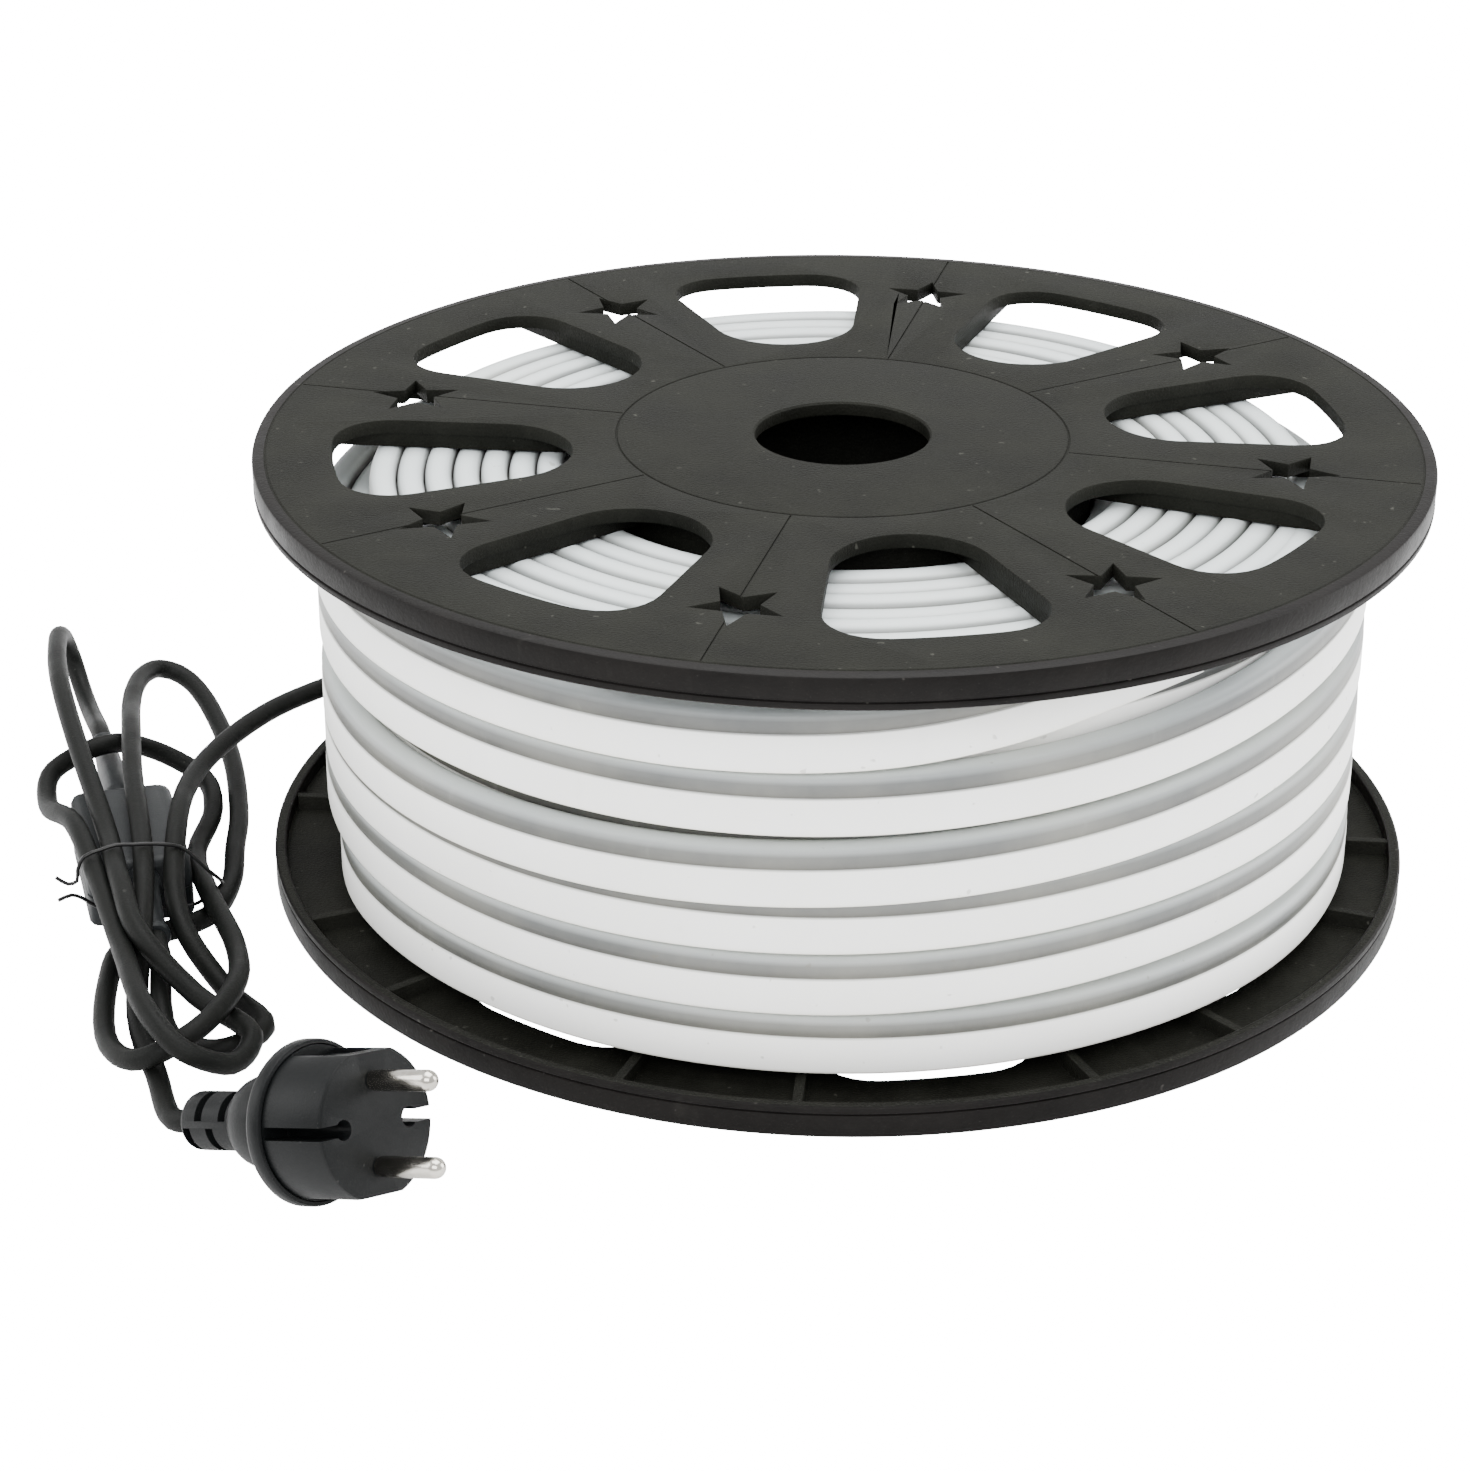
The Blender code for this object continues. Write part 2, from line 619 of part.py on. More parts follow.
def add_leads(collection, material):
    """The lead from the flex to the box, and the lead from the box to the plug."""
    plug_end = plug_matrix() @ Vector((0.0, 0.0, -FIT))
    far_tip = relief_tip(1, FAR_RELIEF_LENGTH, FIT)
    near_tip = relief_tip(-1, NEAR_RELIEF_LENGTH, FIT)
    cap_end = CAP_LENGTH / 2 + CAP_RELIEF_LENGTH + FIT
    cap_tip = cap_matrix() @ Vector((0.0, cap_end, 0.0))
    plug_route = [far_tip] + PLUG_LEAD_ROUTE + [plug_end]
    feed_route = [cap_tip] + FEED_LEAD_ROUTE + [near_tip]
    add_tube("plug_lead", plug_route, LEAD_RADIUS, collection, material)
    add_tube("feed_lead", feed_route, LEAD_RADIUS, collection, material)


def main():
    clear_scene()
    parts = make_collection("neon_flex_reel")
    cutters = make_collection("cutters")
    black = make_material("spool_plastic", (0.042, 0.043, 0.038), 0.62)
    flex = make_material("flex_white", (0.80, 0.82, 0.80), 0.45)
    box = make_material("box_plastic", (0.045, 0.052, 0.055), 0.45)
    rubber = make_material("lead_rubber", (0.030, 0.031, 0.029), 0.55)
    metal = make_material("pin_nickel", (0.78, 0.76, 0.70), 0.25, 1.0)
    cap = make_material("cap_plastic", (0.70, 0.72, 0.70), 0.45)
    tie = make_material("tie_plastic", (0.020, 0.020, 0.020), 0.40)
    add_flanges(parts, cutters, black)
    add_core(parts, black)
    add_roll(parts, flex)
    add_rectifier(parts, cutters, box)
    add_plug(parts, cutters, rubber, metal)
    add_end_cap(parts, cutters, cap)
    add_leads(parts, rubber)
    add_tube("twist_tie", TIE_ROUTE, TIE_RADIUS, parts, tie)


main()
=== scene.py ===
import math
import bmesh
import bpy
from mathutils import Matrix, Vector, noise


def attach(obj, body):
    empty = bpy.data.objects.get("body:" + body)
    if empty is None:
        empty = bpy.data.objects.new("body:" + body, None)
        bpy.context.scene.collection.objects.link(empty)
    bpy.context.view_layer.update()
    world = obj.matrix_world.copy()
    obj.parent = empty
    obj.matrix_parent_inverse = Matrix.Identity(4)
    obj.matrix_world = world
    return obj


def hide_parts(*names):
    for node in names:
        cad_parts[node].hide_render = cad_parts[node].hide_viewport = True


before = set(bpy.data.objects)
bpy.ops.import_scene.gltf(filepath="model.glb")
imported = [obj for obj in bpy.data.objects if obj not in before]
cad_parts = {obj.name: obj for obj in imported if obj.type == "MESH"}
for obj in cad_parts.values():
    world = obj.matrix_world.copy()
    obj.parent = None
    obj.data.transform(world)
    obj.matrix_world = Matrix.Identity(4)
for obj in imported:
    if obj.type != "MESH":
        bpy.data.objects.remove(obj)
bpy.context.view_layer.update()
print("frame loaded:", len(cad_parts), "nodes")

mm = 0.001
weld = 1e-6                           # points closer than this become one
cornerSteps = 8                       # faces round a prism's rounded corner


# Small helpers

def addObject(name, data, materials):
    item = bpy.data.objects.new(name, data)
    bpy.context.scene.collection.objects.link(item)
    for material in materials:
        data.materials.append(material)
    return item


def finishMesh(name, bm, materials=(), sharpAngle=35):
    # welds, turns the faces outwards and hands the shape over as a smooth shaded object
    bmesh.ops.remove_doubles(bm, verts=bm.verts, dist=weld)
    bmesh.ops.recalc_face_normals(bm, faces=bm.faces)
    mesh = bpy.data.meshes.new(name)
    bm.to_mesh(mesh)
    bm.free()
    mesh.shade_smooth()
    mesh.set_sharp_from_angle(angle=math.radians(sharpAngle))
    return addObject(name, mesh, materials)


def applyModifiers(item):
    graph = bpy.context.evaluated_depsgraph_get()
    graph.update()
    mesh = bpy.data.meshes.new_from_object(item.evaluated_get(graph))
    old = item.data
    item.modifiers.clear()
    item.data = mesh
    bpy.data.meshes.remove(old)


def spinProfile(bm, profile, steps, closed=True):
    # a chain of (radius, height) points turned round Z
    verts = [bm.verts.new((radius, 0.0, height)) for radius, height in profile]
    edges = [bm.edges.new(pair) for pair in zip(verts, verts[1:])]
    if closed:
        edges.append(bm.edges.new((verts[-1], verts[0])))
    bmesh.ops.spin(bm, geom=verts + edges, cent=(0, 0, 0), axis=(0, 0, 1),
                   angle=2 * math.pi, steps=steps, use_merge=True, use_duplicate=False)
    bmesh.ops.remove_doubles(bm, verts=bm.verts, dist=weld)


def addPrism(bm, corners, low, high):
    # a flat outline of (x, y, rounding) corners pushed up into a prism
    verts = [bm.verts.new((x, y, low)) for x, y, rounding in corners]
    bm.faces.new(verts)
    for vert, (x, y, rounding) in zip(verts, corners):
        if rounding:
            bmesh.ops.bevel(bm, geom=[vert], offset=rounding, offset_type="OFFSET",
                            affect="VERTICES", segments=cornerSteps, profile=0.5, material=-1)
    flat = [f for f in bm.faces if all(abs(v.co.z - low) < weld for v in f.verts)]
    made = bmesh.ops.extrude_face_region(bm, geom=[flat[-1]])["geom"]
    moved = [v for v in made if isinstance(v, bmesh.types.BMVert)]
    bmesh.ops.translate(bm, vec=(0, 0, high - low), verts=moved)


def addBlock(bm, low, high, matrix):
    made = bmesh.ops.create_cube(bm, size=1.0)["verts"]
    low, high = Vector(low), Vector(high)
    bmesh.ops.scale(bm, vec=high - low, verts=made)
    bmesh.ops.translate(bm, vec=(high + low) / 2, verts=made)
    bmesh.ops.transform(bm, matrix=matrix, verts=made)


def pourInto(bm, part):
    # adds the closed shape of one bmesh to another, its faces turned outwards
    bmesh.ops.recalc_face_normals(part, faces=part.faces)
    mesh = bpy.data.meshes.new("part")
    part.to_mesh(mesh)
    part.free()
    bm.from_mesh(mesh)
    bpy.data.meshes.remove(mesh)


def cutterObject(name, bm):
    item = finishMesh(name, bm)
    item.hide_render = True
    item.hide_viewport = True
    return item


def combine(item, other, operation):
    # a boolean applied at once, and the other shape removed. The exact solver now and then
    # loses a whole bevelled mesh, so it only stands in where the manifold solver changes
    # nothing or loses half of the faces.
    kept = item.data.copy()
    for solver in ("MANIFOLD", "EXACT"):
        modifier = item.modifiers.new("combine", "BOOLEAN")
        modifier.operation = operation
        modifier.solver = solver
        modifier.object = other
        applyModifiers(item)
        changed = len(item.data.vertices) != len(kept.vertices)
        if changed and len(item.data.polygons) > 0.5 * len(kept.polygons):
            break
        print(solver, "failed with", other.name)
        item.data = kept.copy()
    item.data.materials.clear()       # the solver adds empty slots
    for material in kept.materials:
        item.data.materials.append(material)
    bpy.data.meshes.remove(kept)
    bpy.data.objects.remove(other, do_unlink=True)


def joinFlatFaces(item, degrees=0.4):
    bm = bmesh.new()
    bm.from_mesh(item.data)
    bmesh.ops.remove_doubles(bm, verts=bm.verts, dist=4e-6)
    bmesh.ops.dissolve_limit(bm, angle_limit=math.radians(degrees), verts=bm.verts,
                             edges=bm.edges, use_dissolve_boundaries=False)
    bm.to_mesh(item.data)
    bm.free()


def roundEdges(item, width, sharpAngle):
    modifier = item.modifiers.new("edges", "BEVEL")
    modifier.width = width
    modifier.segments = 2
    modifier.limit_method = "ANGLE"
    modifier.angle_limit = math.radians(sharpAngle)
    applyModifiers(item)


def shadeAgain(item, sharpAngle):
    item.data.shade_smooth()
    item.data.set_sharp_from_angle(angle=math.radians(sharpAngle))


def between(table, place):
    # a smooth value read from rows of (place, value), its slope taken from the neighbours
    if place <= table[0][0]:
        return table[0][1]
    if place >= table[-1][0]:
        return table[-1][1]
    index = max(i for i, row in enumerate(table) if row[0] <= place)
    (x0, y0), (x1, y1) = table[index], table[index + 1]
    before = table[max(index - 1, 0)]
    after = table[min(index + 2, len(table) - 1)]
    slope0 = (y1 - before[1]) / (x1 - before[0])
    slope1 = (after[1] - y0) / (after[0] - x0)
    span = x1 - x0
    t = (place - x0) / span
    return ((2 * t ** 3 - 3 * t ** 2 + 1) * y0 + (t ** 3 - 2 * t ** 2 + t) * span * slope0
            + (3 * t ** 2 - 2 * t ** 3) * y1 + (t ** 3 - t ** 2) * span * slope1)


# Camera, fitted to the two flanges in the photograph

view = {
    "place": (0.0, -0.8317, 0.4297),
    "forward": (-0.0295, 0.9015, -0.4318),
    "up": (-0.0175, 0.4315, 0.9020),
    "lens": 84.62,
    "sensor": 36.0,
    "reach": 50.0,
}


def makeCamera():
    data = bpy.data.cameras.new("camera")
    data.sensor_width = view["sensor"]
    data.lens = view["lens"]
    data.clip_end = view["reach"]
    forward = Vector(view["forward"]).normalized()
    right = forward.cross(Vector(view["up"])).normalized()
    up = right.cross(forward)
    turn = Matrix((right, up, -forward)).transposed().to_4x4()
    item = bpy.data.objects.new("camera", data)
    item.matrix_world = Matrix.Translation(view["place"]) @ turn
    bpy.context.scene.collection.objects.link(item)
    bpy.context.scene.camera = item


makeCamera()
print("camera made")


# Shared effects and the materials

def socketIn(group, name, kind, value=None):
    socket = group.interface.new_socket(name=name, in_out="INPUT", socket_type=kind)
    if value is not None:
        socket.default_value = value


def socketOut(group, name, kind):
    group.interface.new_socket(name=name, in_out="OUTPUT", socket_type=kind)


def makeMouldedSurface():
    # grain height, soft blotches, small specks and fine scuffs, all from Object coordinates
    group = bpy.data.node_groups.new("mouldedSurface", "ShaderNodeTree")
    socketIn(group, "Vector", "NodeSocketVector")
    for name, value in (("Grain Scale", 1500.0), ("Blotch Scale", 40.0),
                        ("Speck Scale", 700.0), ("Scuff Scale", 120.0)):
        socketIn(group, name, "NodeSocketFloat", value)
    for name in ("Grain", "Blotch", "Speck", "Scuff"):
        socketOut(group, name, "NodeSocketFloat")
    nodes, links = group.nodes, group.links
    enter = nodes.new("NodeGroupInput")
    leave = nodes.new("NodeGroupOutput")
    rows = (
        ("Grain", "Grain Scale", 4.0, 0.6, None, (1, 1, 1)),
        ("Blotch", "Blotch Scale", 5.0, 0.6, (0.30, 0.70), (1, 1, 1)),
        ("Speck", "Speck Scale", 1.0, 0.5, (0.76, 0.80), (1, 1, 1)),
        ("Scuff", "Scuff Scale", 3.0, 0.7, (0.62, 0.80), (1, 6, 1)),
    )
    for place, (name, scale, detail, rough, limits, stretch) in enumerate(rows):
        turn = nodes.new("ShaderNodeMapping")
        turn.inputs["Scale"].default_value = stretch
        turn.inputs["Location"].default_value = (0.3 * place, 0.7 * place, 0.1 * place)
        links.new(enter.outputs["Vector"], turn.inputs["Vector"])
        texture = nodes.new("ShaderNodeTexNoise")
        texture.inputs["Detail"].default_value = detail
        texture.inputs["Roughness"].default_value = rough
        links.new(turn.outputs["Vector"], texture.inputs["Vector"])
        links.new(enter.outputs[scale], texture.inputs["Scale"])
        source = texture.outputs["Fac"]
        if limits:
            band = nodes.new("ShaderNodeMapRange")
            band.inputs["From Min"].default_value = limits[0]
            band.inputs["From Max"].default_value = limits[1]
            links.new(source, band.inputs["Value"])
            source = band.outputs["Result"]
        links.new(source, leave.inputs[name])
    return group


mouldedSurface = makeMouldedSurface()


def mixColours(tree, factor, first, second):
    node = tree.nodes.new("ShaderNodeMix")
    node.data_type = "RGBA"
    for socket, value in ((node.inputs["Factor"], factor), (node.inputs[6], first),
                          (node.inputs[7], second)):
        if isinstance(value, bpy.types.NodeSocket):
            tree.links.new(value, socket)
        elif isinstance(value, tuple):
            socket.default_value = (*value, 1.0)
        else:
            socket.default_value = value
    return node.outputs[2]


def scaleValue(tree, value, low, high):
    # a 0 to 1 mask spread between two values
    node = tree.nodes.new("ShaderNodeMapRange")
    node.inputs["To Min"].default_value = low
    node.inputs["To Max"].default_value = high
    tree.links.new(value, node.inputs["Value"])
    return node.outputs["Result"]


def startMaterial(name, look):
    material = bpy.data.materials.new(name)
    material.use_nodes = True
    tree = material.node_tree
    shader = tree.nodes["Principled BSDF"]
    shader.inputs["Specular IOR Level"].default_value = look.get("specular", 0.5)
    shader.inputs["Metallic"].default_value = look.get("metallic", 0.0)
    place = tree.nodes.new("ShaderNodeTexCoord")
    surface = tree.nodes.new("ShaderNodeGroup")
    surface.node_tree = mouldedSurface
    tree.links.new(place.outputs["Object"], surface.inputs["Vector"])
    for socket, key in (("Grain Scale", "grain"), ("Blotch Scale", "blotch"),
                        ("Speck Scale", "speck"), ("Scuff Scale", "scuff")):
        surface.inputs[socket].default_value = look[key]
    bump = tree.nodes.new("ShaderNodeBump")
    bump.inputs["Strength"].default_value = look["bump"]
    bump.inputs["Distance"].default_value = look["bumpHeight"]
    tree.links.new(surface.outputs["Grain"], bump.inputs["Height"])
    tree.links.new(bump.outputs["Normal"], shader.inputs["Normal"])
    rough = scaleValue(tree, surface.outputs["Blotch"], *look["roughness"])
    tree.links.new(rough, shader.inputs["Roughness"])
    return material, tree, shader, surface


def makeMoulded(name, look):
    material, tree, shader, surface = startMaterial(name, look)
    colour = mixColours(tree, surface.outputs["Blotch"], look["dark"], look["light"])
    scuff = scaleValue(tree, surface.outputs["Scuff"], 0.0, look["scuffAmount"])
    colour = mixColours(tree, scuff, colour, look["scuffColour"])
    speck = scaleValue(tree, surface.outputs["Speck"], 0.0, look["speckAmount"])
    colour = mixColours(tree, speck, colour, look["speckColour"])
    tree.links.new(colour, shader.inputs["Base Color"])
    return material


finishColumns = (
    "dark", "light", "grain", "blotch", "speck", "scuff",
    "speckAmount", "speckColour", "scuffAmount", "scuffColour", "roughness", "bump",
    "bumpHeight", "specular", "metallic",
)
finishes = {
    "spoolGrain": (
        (0.0045, 0.0047, 0.0036), (0.0105, 0.0108, 0.0086), 1400.0, 45.0, 420.0, 30.0,
        0.5, (0.06, 0.06, 0.052), 0.1, (0.03, 0.03, 0.026), (0.5, 0.62), 0.6, 0.0006, 0.05, 0.0),
    # the rim: its smoother finish is its own, its darker colour is painted shade on the rim's side
    # wall
    "spoolRimShaded": (
        (0.0026, 0.0023, 0.0021), (0.0062, 0.0055, 0.005), 900.0, 60.0, 380.0, 60.0,
        0.6, (0.05, 0.048, 0.044), 0.3, (0.02, 0.019, 0.017), (0.34, 0.5), 0.25, 0.0005, 0.07, 0.0),
    "boxPlastic": (
        (0.009, 0.0105, 0.0112), (0.0125, 0.0142, 0.015), 2200.0, 60.0, 600.0, 90.0,
        0.2, (0.08, 0.08, 0.08), 0.15, (0.022, 0.024, 0.026), (0.34, 0.46), 0.2, 0.0003, 0.12, 0.0),
    "plugRubber": (
        (0.0024, 0.0028, 0.003), (0.0042, 0.0047, 0.0048), 2400.0, 90.0, 700.0, 160.0,
        0.25, (0.06, 0.06, 0.058), 0.2, (0.014, 0.014, 0.014), (0.3, 0.44), 0.2, 0.0003, 0.1, 0.0),
    "leadRubber": (
        (0.0032, 0.0036, 0.0033), (0.0056, 0.0059, 0.0053), 1800.0, 70.0, 600.0, 140.0,
        0.2, (0.06, 0.06, 0.055), 0.3, (0.016, 0.0155, 0.014), (0.42, 0.58), 0.25, 0.0004, 0.07, 0.0),
    "tieWire": (
        (0.003, 0.003, 0.003), (0.006, 0.006, 0.006), 2600.0, 200.0, 900.0, 200.0,
        0.1, (0.04, 0.04, 0.04), 0.2, (0.02, 0.02, 0.02), (0.3, 0.42), 0.1, 0.0002, 0.2, 0.0),
    "capPlastic": (
        (0.62, 0.64, 0.62), (0.74, 0.76, 0.74), 2000.0, 60.0, 500.0, 100.0,
        0.3, (0.3, 0.3, 0.28), 0.15, (0.45, 0.44, 0.4), (0.36, 0.48), 0.15, 0.0003, 0.5, 0.0),
    "pinNickel": (
        (0.34, 0.32, 0.28), (0.56, 0.54, 0.49), 3000.0, 160.0, 900.0, 260.0,
        0.4, (0.1, 0.08, 0.05), 0.4, (0.2, 0.18, 0.14), (0.14, 0.26), 0.08, 0.0002, 0.5, 1.0),
}
looks = {name: makeMoulded(name, dict(zip(finishColumns, row)))
         for name, row in finishes.items()}

flexLook = {
    "grain": 1100.0, "blotch": 22.0, "speck": 330.0, "scuff": 45.0,
    "roughness": (0.34, 0.48), "bump": 0.10, "bumpHeight": 0.0004, "specular": 0.45,
    # colours up the section, from the underside of the base to the crown of the dome: a white base,
    # darker and yellower at its underside; the dome's sides partly their own milky grey and partly
    # painted shade, lightening to painted light on the crown
    "colourAndShadeBands": ((0.0, (0.62, 0.60, 0.52)), (0.03, (0.84, 0.84, 0.80)), (0.10, (0.88, 0.885, 0.87)),
              (0.61, (0.88, 0.885, 0.87)), (0.638, (0.50, 0.51, 0.50)),
              (0.655, (0.036, 0.037, 0.035)), (0.70, (0.058, 0.060, 0.058)),
              (0.86, (0.080, 0.086, 0.088)), (0.945, (0.24, 0.26, 0.265)),
              (1.0, (0.50, 0.545, 0.555))),
    "soilAmount": 0.16, "soilColour": (0.60, 0.58, 0.48),
    "speckAmount": 0.35, "speckColour": (0.12, 0.11, 0.08),
    "scuffAmount": 0.10, "scuffColour": (0.50, 0.50, 0.47),
}


def makeFlexMaterial():
    material, tree, shader, surface = startMaterial("flexPvc", flexLook)
    rise = tree.nodes.new("ShaderNodeAttribute")
    rise.attribute_name = "rise"
    # the ramp paints shade down the dome's sides and light on its crown, over the flex's own white
    # and milky colours
    ramp = tree.nodes.new("ShaderNodeValToRGB")
    stops = ramp.color_ramp.elements
    while len(stops) < len(flexLook["colourAndShadeBands"]):
        stops.new(0.5)
    for stop, (place, colour) in zip(stops, flexLook["colourAndShadeBands"]):
        stop.position = place
        stop.color = (*colour, 1.0)
    tree.links.new(rise.outputs["Fac"], ramp.inputs["Fac"])
    soil = scaleValue(tree, surface.outputs["Blotch"], 0.0, flexLook["soilAmount"])
    colour = mixColours(tree, soil, ramp.outputs["Color"], flexLook["soilColour"])
    speck = scaleValue(tree, surface.outputs["Speck"], 0.0, flexLook["speckAmount"])
    colour = mixColours(tree, speck, colour, flexLook["speckColour"])
    scuff = scaleValue(tree, surface.outputs["Scuff"], 0.0, flexLook["scuffAmount"])
    colour = mixColours(tree, scuff, colour, flexLook["scuffColour"])
    tree.links.new(colour, shader.inputs["Base Color"])
    return material


looks["flexPvc"] = makeFlexMaterial()
print("materials made:", len(looks))


# Cords: the routes repeat the points of the CAD source

plugLeadRoute = [
    (-0.2068, 0.0380, 0.0108), (-0.2124, 0.0560, 0.0058), (-0.2176, 0.0715, 0.0030),
    (-0.2216, 0.0815, 0.0048), (-0.2246, 0.0866, 0.0108), (-0.2260, 0.0844, 0.0182),
    (-0.2252, 0.0754, 0.0236), (-0.2226, 0.0610, 0.0266), (-0.2188, 0.0440, 0.0284),
    (-0.2135, 0.0255, 0.0290), (-0.2041, -0.0014, 0.0269), (-0.1884, -0.0418, 0.0211),
    (-0.1783, -0.0735, 0.0224), (-0.1701, -0.0938, 0.0198), (-0.1545, -0.1062, 0.0098),
    (-0.1384, -0.1219, 0.0081), (-0.1412, -0.1341, 0.0075), (-0.1514, -0.1382, 0.0131),
    (-0.1615, -0.1284, 0.0174), (-0.1745, -0.0949, 0.0166), (-0.1863, -0.0644, 0.0191),
    (-0.1977, -0.0381, 0.0211), (-0.2105, -0.0126, 0.0134), (-0.2124, 0.0051, 0.0149),
    (-0.1995, 0.0143, 0.0186), (-0.1887, 0.0246, 0.0119), (-0.1755, 0.0230, 0.0046),
    (-0.1702, 0.0078, 0.0028), (-0.1697, -0.0209, 0.0041), (-0.1610, -0.0512, 0.0085),
    (-0.1488, -0.0822, 0.0102), (-0.1445, -0.1088, 0.0138), (-0.1507, -0.1289, 0.0130),
    (-0.1631, -0.1328, 0.0074), (-0.1737, -0.1195, 0.0032), (-0.1799, -0.0894, 0.0031),
    (-0.1791, -0.0700, 0.0027), (-0.1614, -0.0549, 0.0031), (-0.1581, -0.0370, 0.0028),
    (-0.1605, -0.0144, 0.0029), (-0.1619, -0.0002, 0.0029), (-0.1645, 0.0144, 0.0030),
    (-0.1683, 0.0311, 0.0036), (-0.1731, 0.0463, 0.0048), (-0.1780, 0.0582, 0.0064),
    (-0.1830, 0.0680, 0.0082), (-0.1881, 0.0748, 0.0100), (-0.1928, 0.0774, 0.0116),
    (-0.1972, 0.0760, 0.0132), (-0.1998, 0.0685, 0.0148), (-0.1999, 0.0557, 0.0165),
    (-0.1977, 0.0394, 0.0188), (-0.1931, 0.0166, 0.0226), (-0.1867, -0.0139, 0.0236),
    (-0.1757, -0.0578, 0.0208), (-0.1710, -0.0878, 0.0156), (-0.1687, -0.1087, 0.0048),
    (-0.1599, -0.1319, 0.0028), (-0.1517, -0.1535, 0.0039),
]
feedLeadRoute = [
    (-0.1246, 0.0795, 0.0160), (-0.1449, 0.0589, 0.0168), (-0.1601, 0.0358, 0.0181),
    (-0.1716, -0.0024, 0.0195), (-0.1699, -0.0436, 0.0215), (-0.1638, -0.0744, 0.0129),
    (-0.1503, -0.0918, 0.0037), (-0.1377, -0.1093, 0.0029), (-0.1475, -0.1202, 0.0028),
    (-0.1599, -0.1144, 0.0033), (-0.1662, -0.0897, 0.0110), (-0.1677, -0.0852, 0.0112),
]

leads = {
    "radius": 2.7 * mm,
    "substeps": 5,                    # points between two route points
    "roundness": 5,
    "plugLength": 1.22,
    "feedLength": 0.29,
}
box = {
    "length": 46.0 * mm, "width": 27.0 * mm,
    "place": (-0.1850, -0.0305, 0.0), "turn": math.radians(17.6),
    "rounding": 3.0 * mm, "reliefHeight": 11.2 * mm,
    "farRelief": 40.0 * mm, "nearRelief": 30.0 * mm,
    "reliefRoot": 4.2 * mm, "reliefTip": 3.2 * mm,
    "fit": 0.3 * mm,                  # left free where a lead or the floor meets a part
}
plug = {
    "relief": 6.8 * mm, "reliefLength": 17.0 * mm, "bellLength": 17.5 * mm,
    "collar": 18.7 * mm, "collarThickness": 4.5 * mm,
    "body": 17.3 * mm, "bodyLength": 18.0 * mm, "flat": 15.8 * mm,
    "slotWidth": 2.9 * mm, "keyhole": 2.3 * mm, "keyholePlace": 10.2 * mm,
    "pin": 2.4 * mm, "pinLength": 19.0 * mm, "pinSpacing": 19.0 * mm,
    "heading": math.radians(-33.0), "roll": math.radians(-17.0),
    "collarPlace": (-0.1172, -0.1759, 0.0),
}
cap = {
    "length": 30.0 * mm, "width": 15.0 * mm, "thickness": 10.0 * mm,
    "relief": 20.0 * mm, "angle": math.radians(130.0), "height": 16.0 * mm,
    "distance": 140.6 * mm,           # from the reel's axis to the cap's middle
    "rounding": 1.8 * mm,
    # as in boxLook, from the flex to the strain relief
    "levels": ((0.0, 0.9), (0.3, 0.3), (0.9, 0.0), (6.0, 0.0), (6.2, 0.35), (7.2, 0.35),
               (7.4, 0.0), (28.6, 0.0), (29.6, 0.5), (30.0, 1.4)),
}


def boxMatrix():
    return Matrix.Translation(box["place"]) @ Matrix.Rotation(box["turn"], 4, "Z")


def reliefTip(side, length):
    reach = box["length"] / 2 + length + box["fit"]
    return boxMatrix() @ Vector((0.0, side * reach, box["reliefHeight"]))


def plugMatrix():
    # local +Z runs from the lead to the pins, the collar's edge rests on the floor
    reach = plug["reliefLength"] + plug["bellLength"]
    tilt = math.atan2(plug["collar"] - plug["relief"], reach)
    turn = (Matrix.Rotation(plug["heading"], 4, "Z")
            @ Matrix.Rotation(math.pi / 2 - tilt, 4, "Y")
            @ Matrix.Rotation(plug["roll"], 4, "Z"))
    axis = turn.to_3x3() @ Vector((0.0, 0.0, 1.0))
    height = plug["collar"] * math.cos(tilt) + box["fit"]
    collar = Vector(plug["collarPlace"]) + Vector((0.0, 0.0, height))
    return Matrix.Translation(collar - axis * reach) @ turn


def capMatrix():
    # local +Y runs along the flex's outer turn to the cap's strain relief
    turn = Matrix.Rotation(cap["angle"], 4, "Z")
    return turn @ Matrix.Translation((cap["distance"], 0.0, cap["height"]))


def curvePoint(near, share):
    # a point between the middle two of four, on one smooth curve through all of them
    knots = [0.0]
    for first, last in zip(near, near[1:]):
        knots.append(knots[-1] + math.sqrt((last - first).length))
    place = knots[1] + (knots[2] - knots[1]) * share
    level = list(near)
    for span in (1, 2):
        level = [(level[i] * (knots[i + span] - place) + level[i + 1] * (place - knots[i]))
                 / (knots[i + span] - knots[i]) for i in range(len(level) - 1)]
    return (level[0] * (knots[2] - place) + level[1] * (place - knots[1])) / (knots[2] - knots[1])


def smoothRoute(points):
    route = [Vector(point) for point in points]
    padded = [2 * route[0] - route[1]] + route + [2 * route[-1] - route[-2]]
    steps = leads["substeps"]
    smooth = []
    for index in range(len(route) - 1):
        near = padded[index:index + 4]
        smooth += [curvePoint(near, step / steps) for step in range(steps)]
    return smooth + [route[-1]]


def makeLead(name, points, radius, material):
    curve = bpy.data.curves.new(name, "CURVE")
    curve.dimensions = "3D"
    curve.bevel_depth = radius
    curve.bevel_resolution = leads["roundness"]
    curve.use_fill_caps = True
    spline = curve.splines.new("POLY")
    smooth = smoothRoute(points)
    spline.points.add(len(smooth) - 1)
    for point, place in zip(spline.points, smooth):
        point.co = (*place, 1.0)
    spline.use_smooth = True
    return addObject(name, curve, [material])


